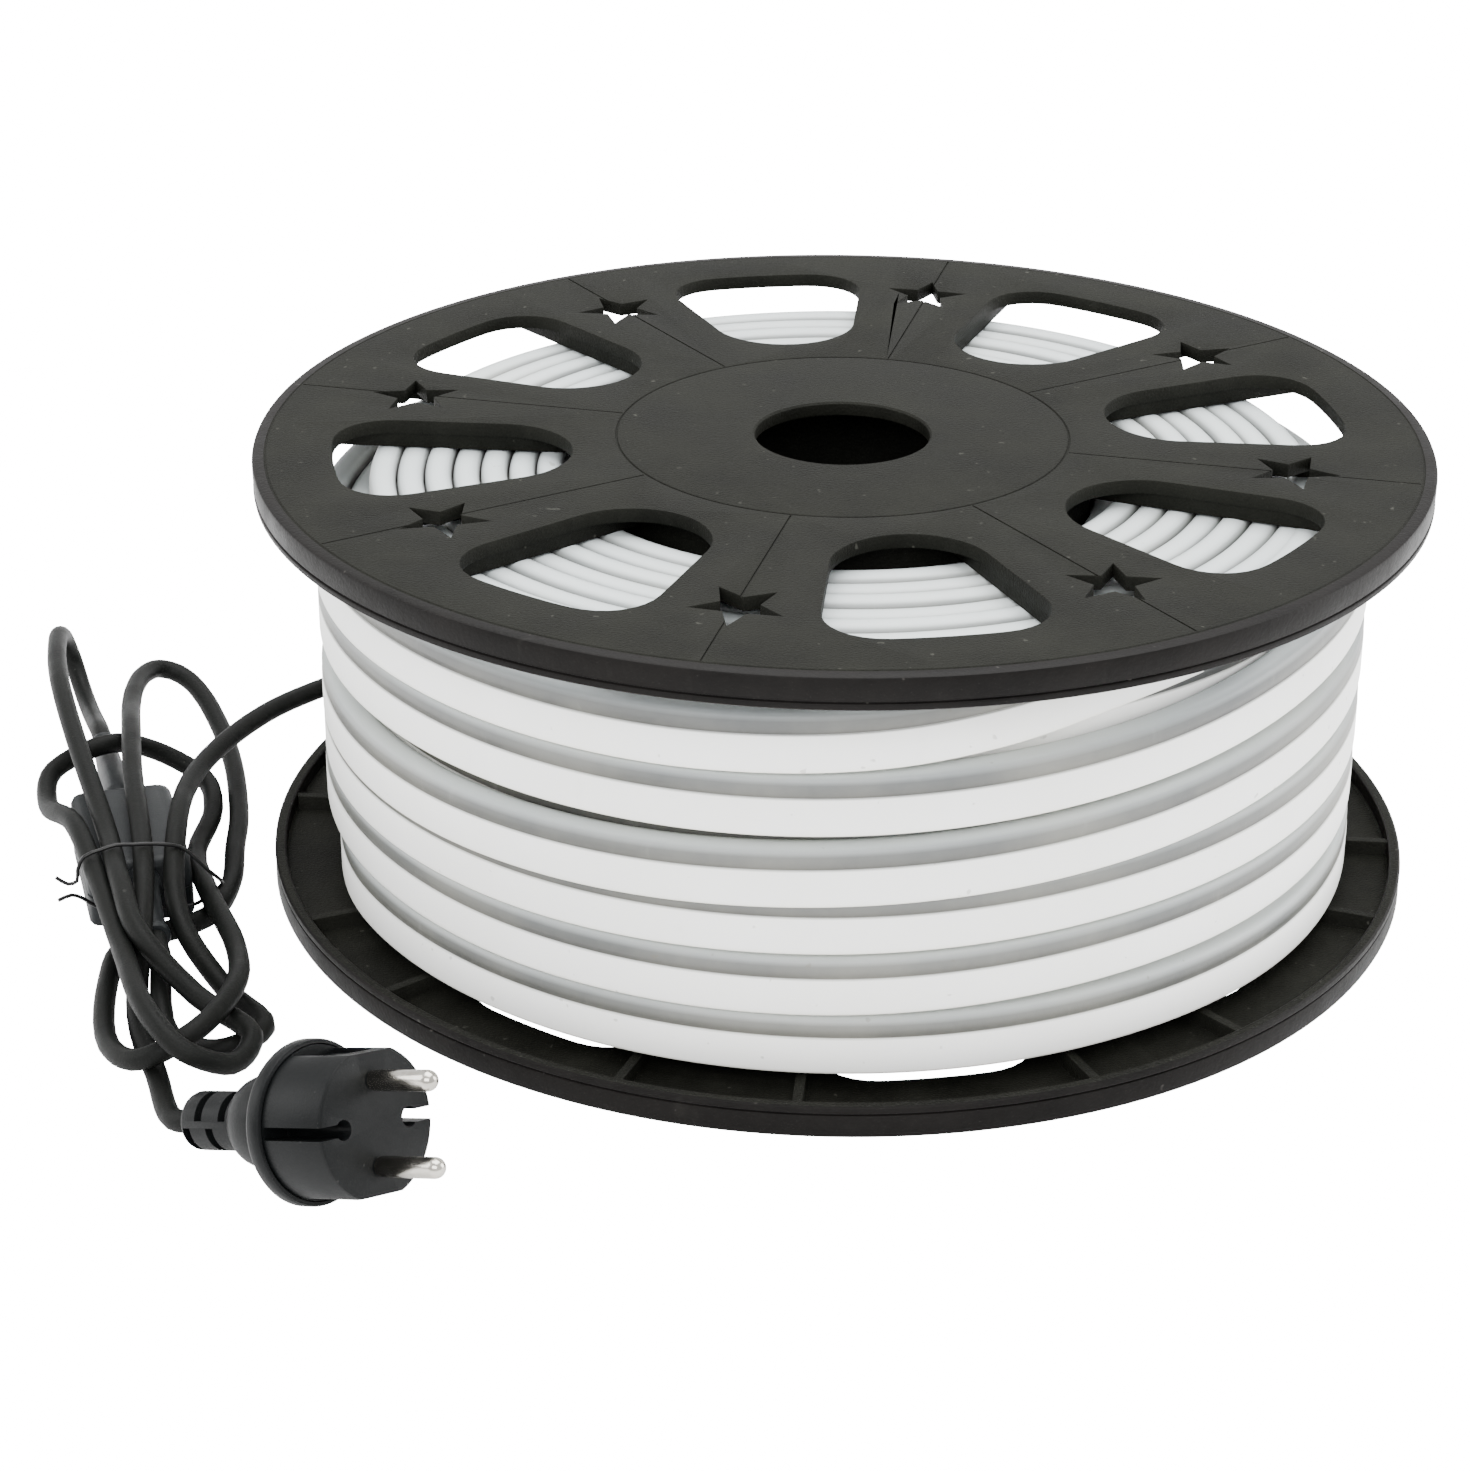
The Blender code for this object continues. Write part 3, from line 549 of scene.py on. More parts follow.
plugEnd = plugMatrix() @ Vector((0.0, 0.0, -box["fit"]))
farTip = reliefTip(1, box["farRelief"])
nearTip = reliefTip(-1, box["nearRelief"])
capTip = capMatrix() @ Vector((0.0, cap["length"] / 2 + cap["relief"] + box["fit"], 0.0))
plugLead = makeLead("plugLead", [farTip] + plugLeadRoute + [plugEnd], leads["radius"],
                    looks["leadRubber"])
feedLead = makeLead("feedLead", [capTip] + feedLeadRoute + [nearTip], leads["radius"],
                    looks["leadRubber"])
print("leads made")


# Reel: two moulded flanges and the core

reel = {
    "height": 117.8 * mm, "plate": 3.6 * mm, "spokes": 8, "spokeAngle": math.radians(-11.5),
    "steps": 192,
    # half section of a flange: outer face at height 0, ribs upwards
    "section": ((22.4, 3.6), (22.4, 0.5), (22.9, 0.0), (57.5, 0.0), (57.6, 0.35),
                (58.0, 0.35), (58.1, 0.0), (146.3, 0.0), (146.5, 0.28), (146.8, 0.28),
                (147.0, 0.10), (149.3, 0.25), (149.8, 0.50), (150.0, 0.95), (149.9, 6.20),
                (149.4, 6.35), (149.4, 6.60), (149.95, 6.80), (150.0, 7.30), (149.9, 8.10),
                (149.4, 8.50), (147.5, 8.50), (147.0, 8.10), (147.0, 4.20), (146.4, 3.60),
                (60.7, 3.60), (60.7, 13.6), (58.3, 13.6), (58.3, 3.60)),
    "rimStart": 146.9 * mm,
    "windowInner": 69.5, "windowOuter": 127.6, "windowCrown": 130.4,
    "windowRounding": (14.6, 16.8, 12.0),
    "windowInnerHalf": 15.2, "windowOuterHalf": 30.0,
    "ribDepth": 7.5, "ribThickness": 2.4, "ribLedge": 0.6, "ribEnd": 142.6, "ribStart": 66.4,
    "starPlace": 114.5, "starRadius": 11.7, "starWaist": 4.9,
    "scribe": 0.45, "scribeDepth": 0.35, "scribeStart": 58.4, "scribeEnd": 146.1,
    "scribeTurn": math.radians(0.4),  # keeps the lines off the spun mesh's own edges
    "cutLow": -10.0 * mm, "cutHigh": 20.0 * mm,
    "edge": 0.35 * mm, "edgeAngle": 50,
}


def addTurned(bm, corners, turn, low, high):
    before = set(bm.verts)
    addPrism(bm, corners, low, high)
    made = [v for v in bm.verts if v not in before]
    bmesh.ops.rotate(bm, cent=(0, 0, 0), matrix=Matrix.Rotation(turn, 3, "Z"), verts=made)


def addRibs(bm, turn):
    # two straight ribs beside a window, under the edges of the plate
    run = reel["windowOuter"] - reel["windowInner"]
    slope = (reel["windowOuterHalf"] - reel["windowInnerHalf"]) / run
    lean = math.hypot(1.0, slope)
    for side in (-1, 1):
        corners = []
        for along, shift in ((reel["ribStart"], 0.0), (reel["ribEnd"], 0.0),
                             (reel["ribEnd"], reel["ribThickness"]),
                             (reel["ribStart"], reel["ribThickness"])):
            edge = reel["windowInnerHalf"] + slope * (along - reel["windowInner"])
            edge += (reel["ribLedge"] + shift) * lean
            corners.append((along * mm, side * edge * mm, 0))
        addTurned(bm, corners, turn, 0.5 * reel["plate"], reel["ribDepth"] * mm)


def windowCorners():
    inner, outer = reel["windowInner"] * mm, reel["windowOuter"] * mm
    nearHalf, farHalf = reel["windowInnerHalf"] * mm, reel["windowOuterHalf"] * mm
    near, far, crown = (rounding * mm for rounding in reel["windowRounding"])
    return [(inner, -nearHalf, near), (outer, -farHalf, far),
            (reel["windowCrown"] * mm, 0.0, crown), (outer, farHalf, far),
            (inner, nearHalf, near)]


def starCorners():
    corners = []
    for index in range(10):
        radius = reel["starWaist"] if index % 2 else reel["starRadius"]
        angle = math.pi * index / 5
        corners.append(((reel["starPlace"] + radius * math.cos(angle)) * mm,
                        radius * math.sin(angle) * mm, 0))
    return corners


def scribeCutter():
    # the eight lines from the hub's ring out to the edge band
    bm = bmesh.new()
    half, depth = reel["scribe"] / 2 * mm, reel["scribeDepth"] * mm
    for index in range(reel["spokes"]):
        spoke = 2 * math.pi * index / reel["spokes"] + reel["scribeTurn"]
        turn = Matrix.Rotation(spoke, 4, "Z")
        addBlock(bm, (reel["scribeStart"] * mm, -half, -mm),
                 (reel["scribeEnd"] * mm, half, depth), turn)
    return cutterObject("scribes", bm)


def makeFlangeMesh():
    bm = bmesh.new()
    spinProfile(bm, [(r * mm, z * mm) for r, z in reel["section"]], reel["steps"])
    disc = finishMesh("flange", bm)
    ribs, openings = bmesh.new(), bmesh.new()
    low, high = reel["cutLow"], reel["cutHigh"]
    for index in range(reel["spokes"]):
        spoke = 2 * math.pi * index / reel["spokes"]
        middle = spoke + math.pi / reel["spokes"]
        addRibs(ribs, middle)
        addTurned(openings, windowCorners(), middle, low, high)
        addTurned(openings, starCorners(), spoke, low, high)
    combine(disc, cutterObject("ribs", ribs), "UNION")
    combine(disc, cutterObject("openings", openings), "DIFFERENCE")
    joinFlatFaces(disc)
    roundEdges(disc, reel["edge"], reel["edgeAngle"])
    combine(disc, scribeCutter(), "DIFFERENCE")
    shadeAgain(disc, sharpAngle=30)
    return disc


def makeFlange(name, source, matrix):
    mesh = source.data.copy()
    mesh.name = name
    mesh.transform(matrix)
    item = addObject(name, mesh, [looks["spoolGrain"], looks["spoolRimShaded"]])
    # faces past rimStart take the rim material, whose darker colour is painted shade
    for polygon in mesh.polygons:
        centre = polygon.center
        onRim = math.hypot(centre.x, centre.y) > reel["rimStart"]
        polygon.material_index = 1 if onRim else 0
    return item


flangeSource = makeFlangeMesh()
turnSpokes = Matrix.Rotation(reel["spokeAngle"], 4, "Z")
liftUp = Matrix.Translation((0.0, 0.0, reel["height"]))
turnOver = Matrix.Rotation(math.pi, 4, "X")
flangeBottom = makeFlange("flangeBottom", flangeSource, turnSpokes)
flangeTop = makeFlange("flangeTop", flangeSource, liftUp @ turnSpokes @ turnOver)
bpy.data.objects.remove(flangeSource, do_unlink=True)
for piece, node in ((flangeBottom, "spool_flange_bottom"), (flangeTop, "spool_flange_top")):
    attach(piece, "root")
    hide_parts(node)
print("flanges made:", len(flangeTop.data.polygons), "faces each")


# Flex: a white base with a milky dome, wound in layers of flat turns

flex = {
    # right half of the section, from the middle of the base up to the crown of the dome
    "section": ((0.0, 0.0), (3.1, 0.0), (3.5, 0.3), (3.55, 0.8), (3.55, 9.3), (3.45, 9.55),
                (3.25, 9.65), (3.22, 9.95), (3.34, 10.1), (3.44, 11.8), (3.38, 13.1),
                (3.12, 14.0), (2.50, 14.65), (1.35, 14.93), (0.0, 15.0)),
    "full": 15.0,
    "steps": 180,
    "bore": 64.3, "pitch": 7.1,
    # underside of each layer's last turn, from the bore outwards
    "topBases": (88.5, 95.3, 94.9, 95.2, 94.7, 95.3, 94.9, 95.2),
    "bottomBase": 8.1, "bottomLayers": 9,
    # the outer layer and the end that shows at the front: first angle and length in degrees
    "outerRun": (-180, 1960), "looseRun": (-146, 75),
    # turns behind the outer layer: the layer they lie in, their number and how far each rises
    "wallLayer": 8, "wallTurns": 6, "wallRise": 15.2,
    # one more turn, in the next layer inwards, this far below that layer's last turn
    "innerLayer": 7, "innerDrop": 15.1,
    "wave": 0.35,                     # how uneven the turns lie, in millimetres
    "waveCircle": 1.6,                # how fast that changes along a turn
    "sideSeed": 9.0,
    "bottomWave": 0.6,                # share of the wave on the lowest turns
    # a start for the waves of each group of turns, so that no two turns lie alike
    "seeds": {"outer": 3.0, "loose": 8.0, "top": 20.0, "bottom": 50.0, "wall": 60.0,
              "inner": 70.0},
}

# how the outer layer climbs: turns round the reel in degrees, from its left edge, and the
# height of the base's underside in millimetres
outerHeights = (
    (0, 8.2), (30, 8.4), (90, 8.5), (120, 9.0), (150, 8.8), (200, 10.0), (290, 17.0),
    (360, 23.0), (390, 24.0), (420, 23.6), (450, 24.2), (480, 26.8), (510, 28.2), (560, 30.5),
    (650, 34.5), (720, 37.4), (750, 38.3), (780, 38.9), (810, 40.3), (840, 42.8), (870, 44.2),
    (920, 45.5), (1010, 47.3), (1080, 48.6), (1107, 49.2), (1140, 50.6), (1170, 53.3),
    (1200, 57.4), (1230, 61.6), (1280, 65.5), (1370, 69.5), (1440, 70.8), (1467, 70.6),
    (1500, 69.9), (1530, 70.9), (1560, 75.0), (1590, 80.6), (1620, 83.6), (1700, 85.6),
    (1800, 85.6), (1830, 85.4), (1870, 85.4), (1885, 86.4), (1896, 88.2), (1907, 91.0),
    (1919, 94.4), (1930, 95.4), (1960, 95.4),
)
outerRadii = (
    (0, 126.2), (10, 128.6), (22, 131.2), (30, 131.75), (1095, 131.75), (1130, 132.6),
    (1200, 132.6), (1240, 131.75), (1893, 131.75), (1906, 130.2), (1920, 127.0),
    (1935, 124.0), (1960, 121.5),
)
# the end of a turn that shows under the rim at the front
looseHeights = ((0, 94.0), (15, 95.4), (60, 95.6), (75, 95.4))
looseRadii = ((0, 121.0), (14, 124.4), (50, 124.6), (75, 121.5))


def startSection(bm):
    # the closed section at radius 0, its own coordinates and its rise kept on every point
    rise = bm.verts.layers.float.new("rise")
    across = bm.verts.layers.float.new("across")
    up = bm.verts.layers.float.new("up")
    right = flex["section"]
    left = [(-u, v) for u, v in reversed(right[1:-1])]
    verts = []
    for u, v in list(right) + left:
        vert = bm.verts.new((u * mm + 1.0, 0.0, v * mm))
        vert[rise], vert[across], vert[up] = v / flex["full"], u, v
        verts.append(vert)
    edges = [bm.edges.new(pair) for pair in zip(verts, verts[1:] + verts[:1])]
    return verts, edges


def unevenness(angle, seed):
    # slow waves along the turn, the same each run
    circle = flex["waveCircle"]
    return noise.noise(Vector((math.cos(angle) * circle, math.sin(angle) * circle, seed)))


def addRing(bm, middle, base, seed, wave=1.0):
    # one closed turn, spun and then laid a little uneven
    part = bmesh.new()
    verts, edges = startSection(part)
    bmesh.ops.spin(part, geom=verts + edges, cent=(0, 0, 0), axis=(0, 0, 1),
                   angle=2 * math.pi, steps=flex["steps"], use_merge=True, use_duplicate=False)
    across = part.verts.layers.float["across"]
    up = part.verts.layers.float["up"]
    for vert in part.verts:
        angle = math.atan2(vert.co.y, vert.co.x)
        sideways = unevenness(angle, seed + flex["sideSeed"])
        radius = middle + vert[across] + 0.3 * flex["wave"] * sideways
        height = base + vert[up] + wave * flex["wave"] * unevenness(angle, seed)
        vert.co = (radius * mm * math.cos(angle), radius * mm * math.sin(angle), height * mm)
    bmesh.ops.remove_doubles(part, verts=part.verts, dist=weld)
    pourInto(bm, part)


def addRun(bm, run, heights, radii, seed):
    # an open length of flex that follows tables of height and radius, its ends closed
    first, degrees = run
    part = bmesh.new()
    verts, edges = startSection(part)
    steps = round(degrees / 360 * flex["steps"])
    bmesh.ops.spin(part, geom=verts + edges, cent=(0, 0, 0), axis=(0, 0, 1), dvec=(0, 0, 1.0),
                   angle=math.radians(degrees), steps=steps, use_merge=False,
                   use_duplicate=False)
    across = part.verts.layers.float["across"]
    up = part.verts.layers.float["up"]
    for vert in part.verts:
        step = round(vert.co.z - vert[up] * mm)
        turned = degrees * step / steps
        angle = math.radians(first + turned)
        wobble = unevenness(math.radians(turned), seed + turned / 300)
        radius = between(radii, turned) + vert[across] + 0.4 * flex["wave"] * wobble
        height = between(heights, turned) + vert[up] + 0.5 * flex["wave"] * wobble
        vert.co = (radius * mm * math.cos(angle), radius * mm * math.sin(angle), height * mm)
    bmesh.ops.holes_fill(part, edges=part.edges, sides=0)
    pourInto(bm, part)


def flexPiece(name, bm):
    mesh = bpy.data.meshes.new(name)
    bm.to_mesh(mesh)
    bm.free()
    mesh.shade_smooth()
    mesh.set_sharp_from_angle(angle=math.radians(50))
    piece = addObject(name, mesh, [looks["flexPvc"]])
    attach(piece, "root")
    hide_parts("neon_flex_roll")
    print(name, "made:", len(mesh.polygons), "faces")
    return piece


def layerMiddle(layer):
    return flex["bore"] + (layer + 0.5) * flex["pitch"]


def makeFlex():
    seeds = flex["seeds"]
    outer = bmesh.new()
    addRun(outer, flex["outerRun"], outerHeights, outerRadii, seeds["outer"])
    addRun(outer, flex["looseRun"], looseHeights, looseRadii, seeds["loose"])
    flexPiece("flexOuterTurns", outer)
    top = bmesh.new()
    for layer, base in enumerate(flex["topBases"]):
        addRing(top, layerMiddle(layer), base, seeds["top"] + layer)
    flexPiece("flexTopTurns", top)
    wall = bmesh.new()
    for turn in range(flex["wallTurns"]):
        base = flex["bottomBase"] + flex["wallRise"] * turn
        addRing(wall, layerMiddle(flex["wallLayer"]), base, seeds["wall"] + turn)
    inner = flex["innerLayer"]
    base = flex["topBases"][inner] - flex["innerDrop"]
    addRing(wall, layerMiddle(inner), base, seeds["inner"])
    flexPiece("flexUnderTurns", wall)
    bottom = bmesh.new()
    for layer in range(flex["bottomLayers"]):
        addRing(bottom, layerMiddle(layer), flex["bottomBase"], seeds["bottom"] + layer,
                flex["bottomWave"])
    flexPiece("flexBottomTurns", bottom)


makeFlex()


# Rectifier box, end cap and their strain reliefs

boxLook = {
    # heights in millimetres and how far the wall stands in there, from the floor to the top
    "levels": ((0.0, 0.9), (0.25, 0.35), (0.8, 0.0), (8.3, 0.0), (8.45, 0.3), (8.85, 0.3),
               (9.0, 0.0), (15.4, 0.25), (16.5, 0.7), (17.15, 1.4), (17.5, 2.6)),
    "cornerSteps": 5,
    "reliefSides": 32,
    "reliefCollar": 0.8 * mm,
}


def stackBlock(bm, width, length, levels, rounding):
    # a rounded rectangle pushed up level by level
    verts = [bm.verts.new((x * width / 2, y * length / 2, 0.0))
             for x, y in ((-1, -1), (1, -1), (1, 1), (-1, 1))]
    bm.faces.new(verts)
    for vert in verts:
        bmesh.ops.bevel(bm, geom=[vert], offset=rounding, offset_type="OFFSET",
                        affect="VERTICES", segments=boxLook["cornerSteps"], profile=0.5,
                        material=-1)
    bm.faces.ensure_lookup_table()
    face = bm.faces[0]
    whole = {}
    for index, (height, inset) in enumerate(levels):
        if index:
            made = bmesh.ops.extrude_face_region(bm, geom=[face])["geom"]
            old = face
            face = [f for f in made if isinstance(f, bmesh.types.BMFace)][0]
            if index > 1:
                bmesh.ops.delete(bm, geom=[old], context="FACES_ONLY")
        else:
            whole = {i: v.co.copy() for i, v in enumerate(face.verts)}
        for i, vert in enumerate(face.verts):
            full = min(whole.values(), key=lambda p: (p.xy - vert.co.xy).length)
            vert.co = (full.x * (1 - 2 * inset * mm / width),
                       full.y * (1 - 2 * inset * mm / length), height * mm)


def reliefProfile(length, root, tip, start):
    # a taper with a small collar at its tip
    collar = boxLook["reliefCollar"]
    return [(0.0, start), (root + 0.9 * mm, start), (root + 0.9 * mm, 3.4 * mm),
            (root + 0.4 * mm, 4.0 * mm), (root, 4.6 * mm), (tip, length - 3.0 * mm),
            (tip + collar * 0.8, length - 2.7 * mm), (tip + collar, length - 2.2 * mm),
            (tip + collar, length - 0.8 * mm), (tip + collar * 0.5, length - 0.1 * mm),
            (tip, length), (0.0, length)]


def addRelief(bm, length, matrix):
    part = bmesh.new()
    profile = reliefProfile(length, box["reliefRoot"], box["reliefTip"], -box["rounding"])
    spinProfile(part, profile, boxLook["reliefSides"], closed=False)
    bmesh.ops.transform(part, matrix=matrix, verts=part.verts)
    pourInto(bm, part)


def makeBox():
    bm = bmesh.new()
    stackBlock(bm, box["width"], box["length"], boxLook["levels"], box["rounding"])
    body = finishMesh("rectifierBox", bm, [looks["boxPlastic"]], sharpAngle=40)
    reliefs = bmesh.new()
    for side, length in ((-1, box["nearRelief"]), (1, box["farRelief"])):
        place = Matrix.Translation((0.0, side * box["length"] / 2, box["reliefHeight"]))
        turn = Matrix.Rotation(-side * math.pi / 2, 4, "X")
        addRelief(reliefs, length, place @ turn)
    combine(body, cutterObject("reliefs", reliefs), "UNION")
    body.data.transform(boxMatrix())
    shadeAgain(body, sharpAngle=40)
    return body


def makeCap():
    bm = bmesh.new()
    stackBlock(bm, cap["thickness"], cap["width"], cap["levels"], cap["rounding"])
    half = cap["length"] / 2
    lay = Matrix.Rotation(-math.pi / 2, 4, "X")
    bmesh.ops.transform(bm, matrix=Matrix.Translation((0.0, -half, 0.0)) @ lay, verts=bm.verts)
    body = finishMesh("flexEndCap", bm, [looks["capPlastic"]], sharpAngle=40)
    relief = bmesh.new()
    addRelief(relief, cap["relief"], Matrix.Translation((0.0, half, 0.0)) @ lay)
    combine(body, cutterObject("capRelief", relief), "UNION")
    body.data.transform(capMatrix())
    shadeAgain(body, sharpAngle=40)
    return body


rectifier = makeBox()
endCap = makeCap()
for piece, slotName, node in ((rectifier, "box_plastic", "rectifier_box"),
                              (endCap, "cap_plastic", "flex_end_cap")):
    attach(piece, "root")
    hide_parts(node)
print("box and end cap made")


# Plug

plugLook = {
    "steps": 96, "pinSteps": 32, "pinFoot": 0.94, "tipSteps": 8,
    # slots of the strain relief: heights on its two sides, size, sweep and the web between
    "slots": ((5.3, 13.1), (1.1, 8.7)), "slotThickness": 2.35,
    "slotFloor": 4.9 * mm, "slotReach": 9.0 * mm,
    "slotSweep": math.radians(76), "slotSteps": 14, "slotWeb": math.radians(7),
    # how the bell swells between the relief and the collar: share of its length, of its swell
    "bell": 11.1 * mm,
    "bellShape": ((0.0, 0.0), (0.02, 0.22), (0.06, 0.42), (0.12, 0.60), (0.19, 0.75),
                  (0.28, 0.87), (0.38, 0.95), (0.49, 0.99), (0.58, 1.0), (0.68, 0.98),
                  (0.78, 0.91), (0.88, 0.82), (0.95, 0.76), (1.0, 0.74)),
    "pocket": 1.1 * mm, "pocketHalf": 6.4 * mm, "pocketEnd": 4.2 * mm,
    # where the cuts into the body start over the collar, and how far they run past the body
    "cutStart": 0.1 * mm, "keyholeStart": 1.0 * mm, "cutOver": 5.0 * mm, "cutWide": 20.0 * mm,
}


def plugSection():
    # half section of the plug, from the lead's end to the face with the pins
    collar = plug["reliefLength"] + plug["bellLength"]
    bodyStart = collar + plug["collarThickness"]
    face = bodyStart + plug["bodyLength"]
    neck = plug["relief"]
    points = [(0.0, 0.0), (3.1 * mm, 0.0), (neck - 1.2 * mm, 0.05 * mm),
              (neck - 0.3 * mm, 0.5 * mm), (neck, 1.3 * mm)]
    for share, swell in plugLook["bellShape"]:
        points.append((neck + (plugLook["bell"] - neck) * swell,
                       collar - plug["bellLength"] * (1 - share)))
    rim = plug["collar"]
    points += [(rim - 1.6 * mm, collar), (rim - 0.5 * mm, collar + 0.3 * mm),
               (rim, collar + 1.1 * mm), (rim, bodyStart - 1.0 * mm),
               (rim - 0.3 * mm, bodyStart - 0.3 * mm), (rim - 0.9 * mm, bodyStart),
               (plug["body"] + 0.35 * mm, bodyStart),
               (plug["body"] + 0.1 * mm, bodyStart - 0.5 * mm),
               (plug["body"], bodyStart - 0.5 * mm), (plug["body"], face - 0.8 * mm),
               (plug["body"] - 0.25 * mm, face - 0.2 * mm), (plug["body"] - 0.8 * mm, face),
               (0.0, face)]
    return points, bodyStart, face


def slotCutters():
    # half rings cut into the strain relief, staggered on its two sides
    cutter = bmesh.new()
    inner, outer = plugLook["slotFloor"], plugLook["slotReach"]
    for side, places in enumerate(plugLook["slots"]):
        for place in places:
            low, high = place * mm, (place + plugLook["slotThickness"]) * mm
            for quarter in (2, 1):
                part = bmesh.new()
                verts = [part.verts.new((radius, 0.0, height)) for radius, height in
                         ((inner, low), (outer, low), (outer, high), (inner, high))]
                face = part.faces.new(verts)
                bmesh.ops.spin(part, geom=[face], cent=(0, 0, 0), axis=(0, 0, 1),
                               angle=plugLook["slotSweep"], steps=plugLook["slotSteps"],
                               use_merge=False, use_duplicate=False)
                first = math.pi / 2 * quarter + plugLook["slotWeb"] + math.pi * side
                bmesh.ops.rotate(part, cent=(0, 0, 0), verts=part.verts,
                                 matrix=Matrix.Rotation(first, 3, "Z"))
                pourInto(cutter, part)
    return cutterObject("reliefSlots", cutter)


def bodyCutters(bodyStart, face):
    # the two flats with their pockets, and the two slots that end in keyholes
    wide, half, pocket = plugLook["cutWide"], plug["slotWidth"] / 2, plugLook["pocketHalf"]
    low, high = bodyStart + plugLook["cutStart"], face + plugLook["cutOver"]
    flats, slots, keyholes, pockets = (bmesh.new() for shape in range(4))
    for side in (1, -1):
        turn = Matrix.Rotation(0.0 if side > 0 else math.pi, 4, "Z")
        addBlock(flats, (plug["flat"], -wide, low), (wide, wide, high), turn)
        addBlock(slots, (-half, plug["keyholePlace"], low), (half, wide, high), turn)
        addBlock(pockets, (plug["flat"] - plugLook["pocket"], -pocket, low),
                 (wide, pocket, face - plugLook["pocketEnd"]), turn)
        depth = plug["bodyLength"] + 2 * plugLook["cutOver"]
        made = bmesh.ops.create_cone(keyholes, cap_ends=True, segments=plugLook["pinSteps"],
                                     radius1=plug["keyhole"], radius2=plug["keyhole"],
                                     depth=depth)["verts"]
        middle = bodyStart + plugLook["keyholeStart"] + depth / 2
        bmesh.ops.translate(keyholes, verts=made, vec=(0, side * plug["keyholePlace"], middle))
    return [cutterObject("plugFlats", flats), cutterObject("plugSlots", slots),
            cutterObject("plugKeyholes", keyholes), cutterObject("plugPockets", pockets)]


def makePlug():
    bm = bmesh.new()
    section, bodyStart, face = plugSection()
    spinProfile(bm, section, plugLook["steps"], closed=False)
    body = finishMesh("plugBody", bm, [looks["plugRubber"]])
    for cutter in [slotCutters()] + bodyCutters(bodyStart, face):
        combine(body, cutter, "DIFFERENCE")
    body.data.transform(plugMatrix())
    shadeAgain(body, sharpAngle=32)
    return body, face


def makePin(name, side, face):
    # a narrow foot, a straight shank and a round tip
    bm = bmesh.new()
    radius, length = plug["pin"], plug["pinLength"]
    foot = radius * plugLook["pinFoot"]
    section = [(0.0, 0.3 * mm), (foot, 0.3 * mm), (foot, 0.9 * mm), (radius, 1.1 * mm)]
    for step in range(plugLook["tipSteps"] + 1):
        angle = math.pi / 2 * step / plugLook["tipSteps"]
        section.append((radius * math.cos(angle), length - radius + radius * math.sin(angle)))
    section[-1] = (0.0, length)
    spinProfile(bm, section, plugLook["pinSteps"], closed=False)
    pin = finishMesh(name, bm, [looks["pinNickel"]], sharpAngle=45)
    place = Matrix.Translation((side * plug["pinSpacing"] / 2, 0.0, face))
    pin.data.transform(plugMatrix() @ place)
    return pin


plugBody, plugFaceHeight = makePlug()
plugPin1 = makePin("plugPin1", 1, plugFaceHeight)
plugPin2 = makePin("plugPin2", -1, plugFaceHeight)
for piece, slotName, node in ((plugBody, "plug_rubber", "plug_body"),
                              (plugPin1, "pin_nickel", "plug_pin_1"),
                              (plugPin2, "pin_nickel", "plug_pin_2")):
    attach(piece, "root")
    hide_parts(node)
print("plug made")


# The leads join the root body, and the CAD nodes that stay get their finish

for piece, node in ((plugLead, "plug_lead"), (feedLead, "feed_lead")):
    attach(piece, "root")
    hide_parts(node)


def finishNode(node, material):
    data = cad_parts[node].data
    data.materials.clear()
    data.materials.append(material)


finishNode("spool_core", looks["spoolGrain"])
finishNode("twist_tie", looks["tieWire"])


# Floor and light

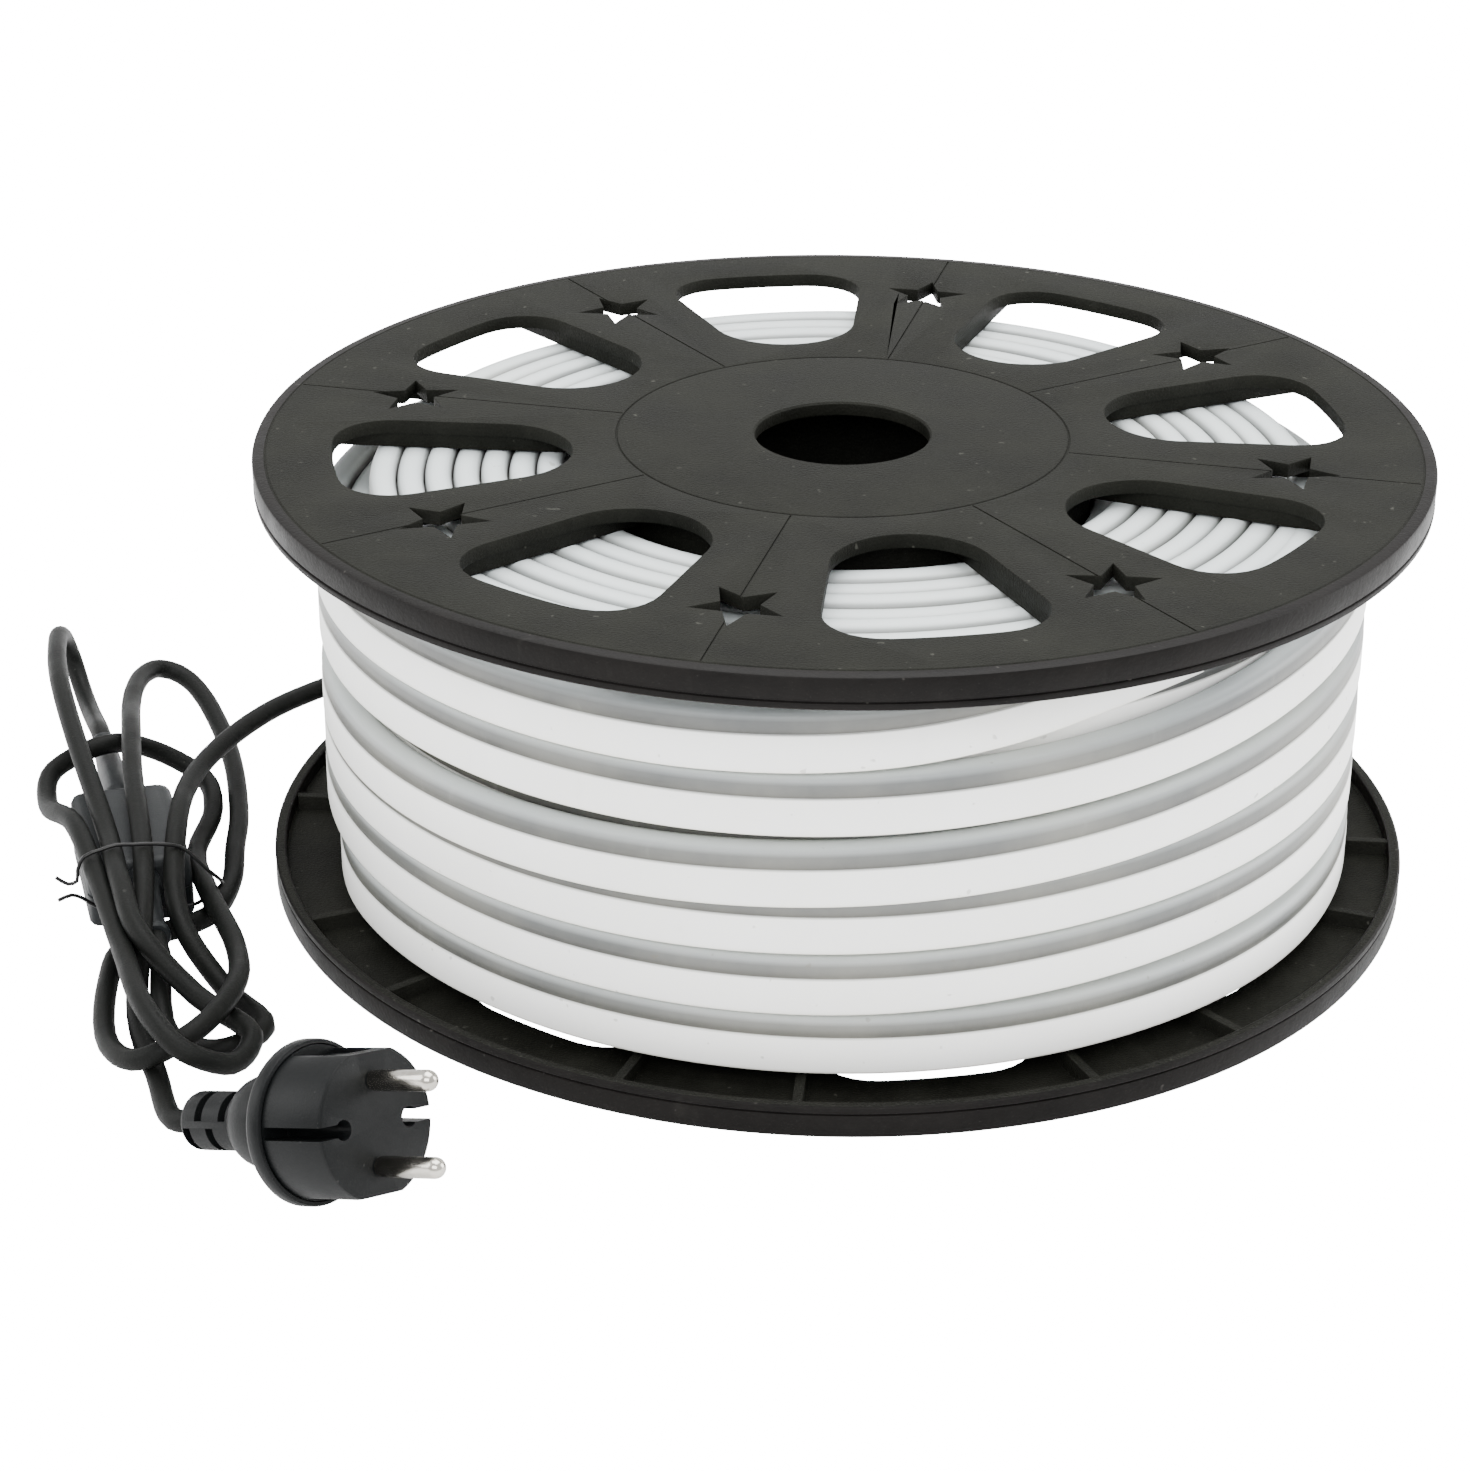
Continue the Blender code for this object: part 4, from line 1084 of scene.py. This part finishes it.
studio = {
    "floorSize": 80.0,
    "floorDrop": 0.2 * mm,            # keeps the floor clear of the reel's lower face
    "floorColour": (0.92, 0.92, 0.92), "floorRoughness": 0.9,
    "floorGlow": 0.75,                # share of the floor that the camera sees evenly white
    "glowStrength": 22.0,
    "world": 1.5,
    # place, aim, width, height and power of each soft light
    "lights": (
        ("top", (0.1, 0.25, 1.5), (0.0, 0.0, 0.05), 1.6, 1.6, 62.0),
        ("right", (1.5, 0.25, 0.55), (0.0, 0.0, 0.08), 1.0, 0.9, 24.0),
        ("left", (-1.5, -0.1, 0.7), (0.0, 0.0, 0.08), 1.0, 0.9, 14.0),
        ("front", (-0.2, -1.5, 1.1), (0.0, 0.0, 0.06), 1.4, 0.8, 32.0),
    ),
}


def makeFloor():
    bm = bmesh.new()
    bmesh.ops.create_grid(bm, x_segments=1, y_segments=1, size=studio["floorSize"] / 2)
    material = bpy.data.materials.new("floorPaper")
    material.use_nodes = True
    tree = material.node_tree
    shader = tree.nodes["Principled BSDF"]
    shader.inputs["Base Color"].default_value = (*studio["floorColour"], 1.0)
    shader.inputs["Roughness"].default_value = studio["floorRoughness"]
    glow = tree.nodes.new("ShaderNodeEmission")
    glow.inputs["Strength"].default_value = studio["glowStrength"]
    path = tree.nodes.new("ShaderNodeLightPath")
    share = scaleValue(tree, path.outputs["Is Camera Ray"], 0.0, studio["floorGlow"])
    mix = tree.nodes.new("ShaderNodeMixShader")
    tree.links.new(share, mix.inputs[0])
    tree.links.new(shader.outputs["BSDF"], mix.inputs[1])
    tree.links.new(glow.outputs["Emission"], mix.inputs[2])
    tree.links.new(mix.outputs["Shader"], tree.nodes["Material Output"].inputs["Surface"])
    floor = finishMesh("floor", bm, [material])
    floor.data.transform(Matrix.Translation((0.0, 0.0, -studio["floorDrop"])))


def makeLights():
    for name, place, aim, width, height, power in studio["lights"]:
        data = bpy.data.lights.new(name, "AREA")
        data.shape = "RECTANGLE"
        data.size, data.size_y = width, height
        data.energy = power
        item = bpy.data.objects.new(name, data)
        direction = Vector(aim) - Vector(place)
        turn = direction.to_track_quat("-Z", "Y").to_matrix().to_4x4()
        item.matrix_world = Matrix.Translation(place) @ turn
        bpy.context.scene.collection.objects.link(item)
    world = bpy.data.worlds.new("studio")
    world.use_nodes = True
    shade = world.node_tree.nodes["Background"]
    shade.inputs["Color"].default_value = (1.0, 1.0, 1.0, 1.0)
    shade.inputs["Strength"].default_value = studio["world"]
    bpy.context.scene.world = world


makeFloor()
makeLights()
print("floor and lights made")
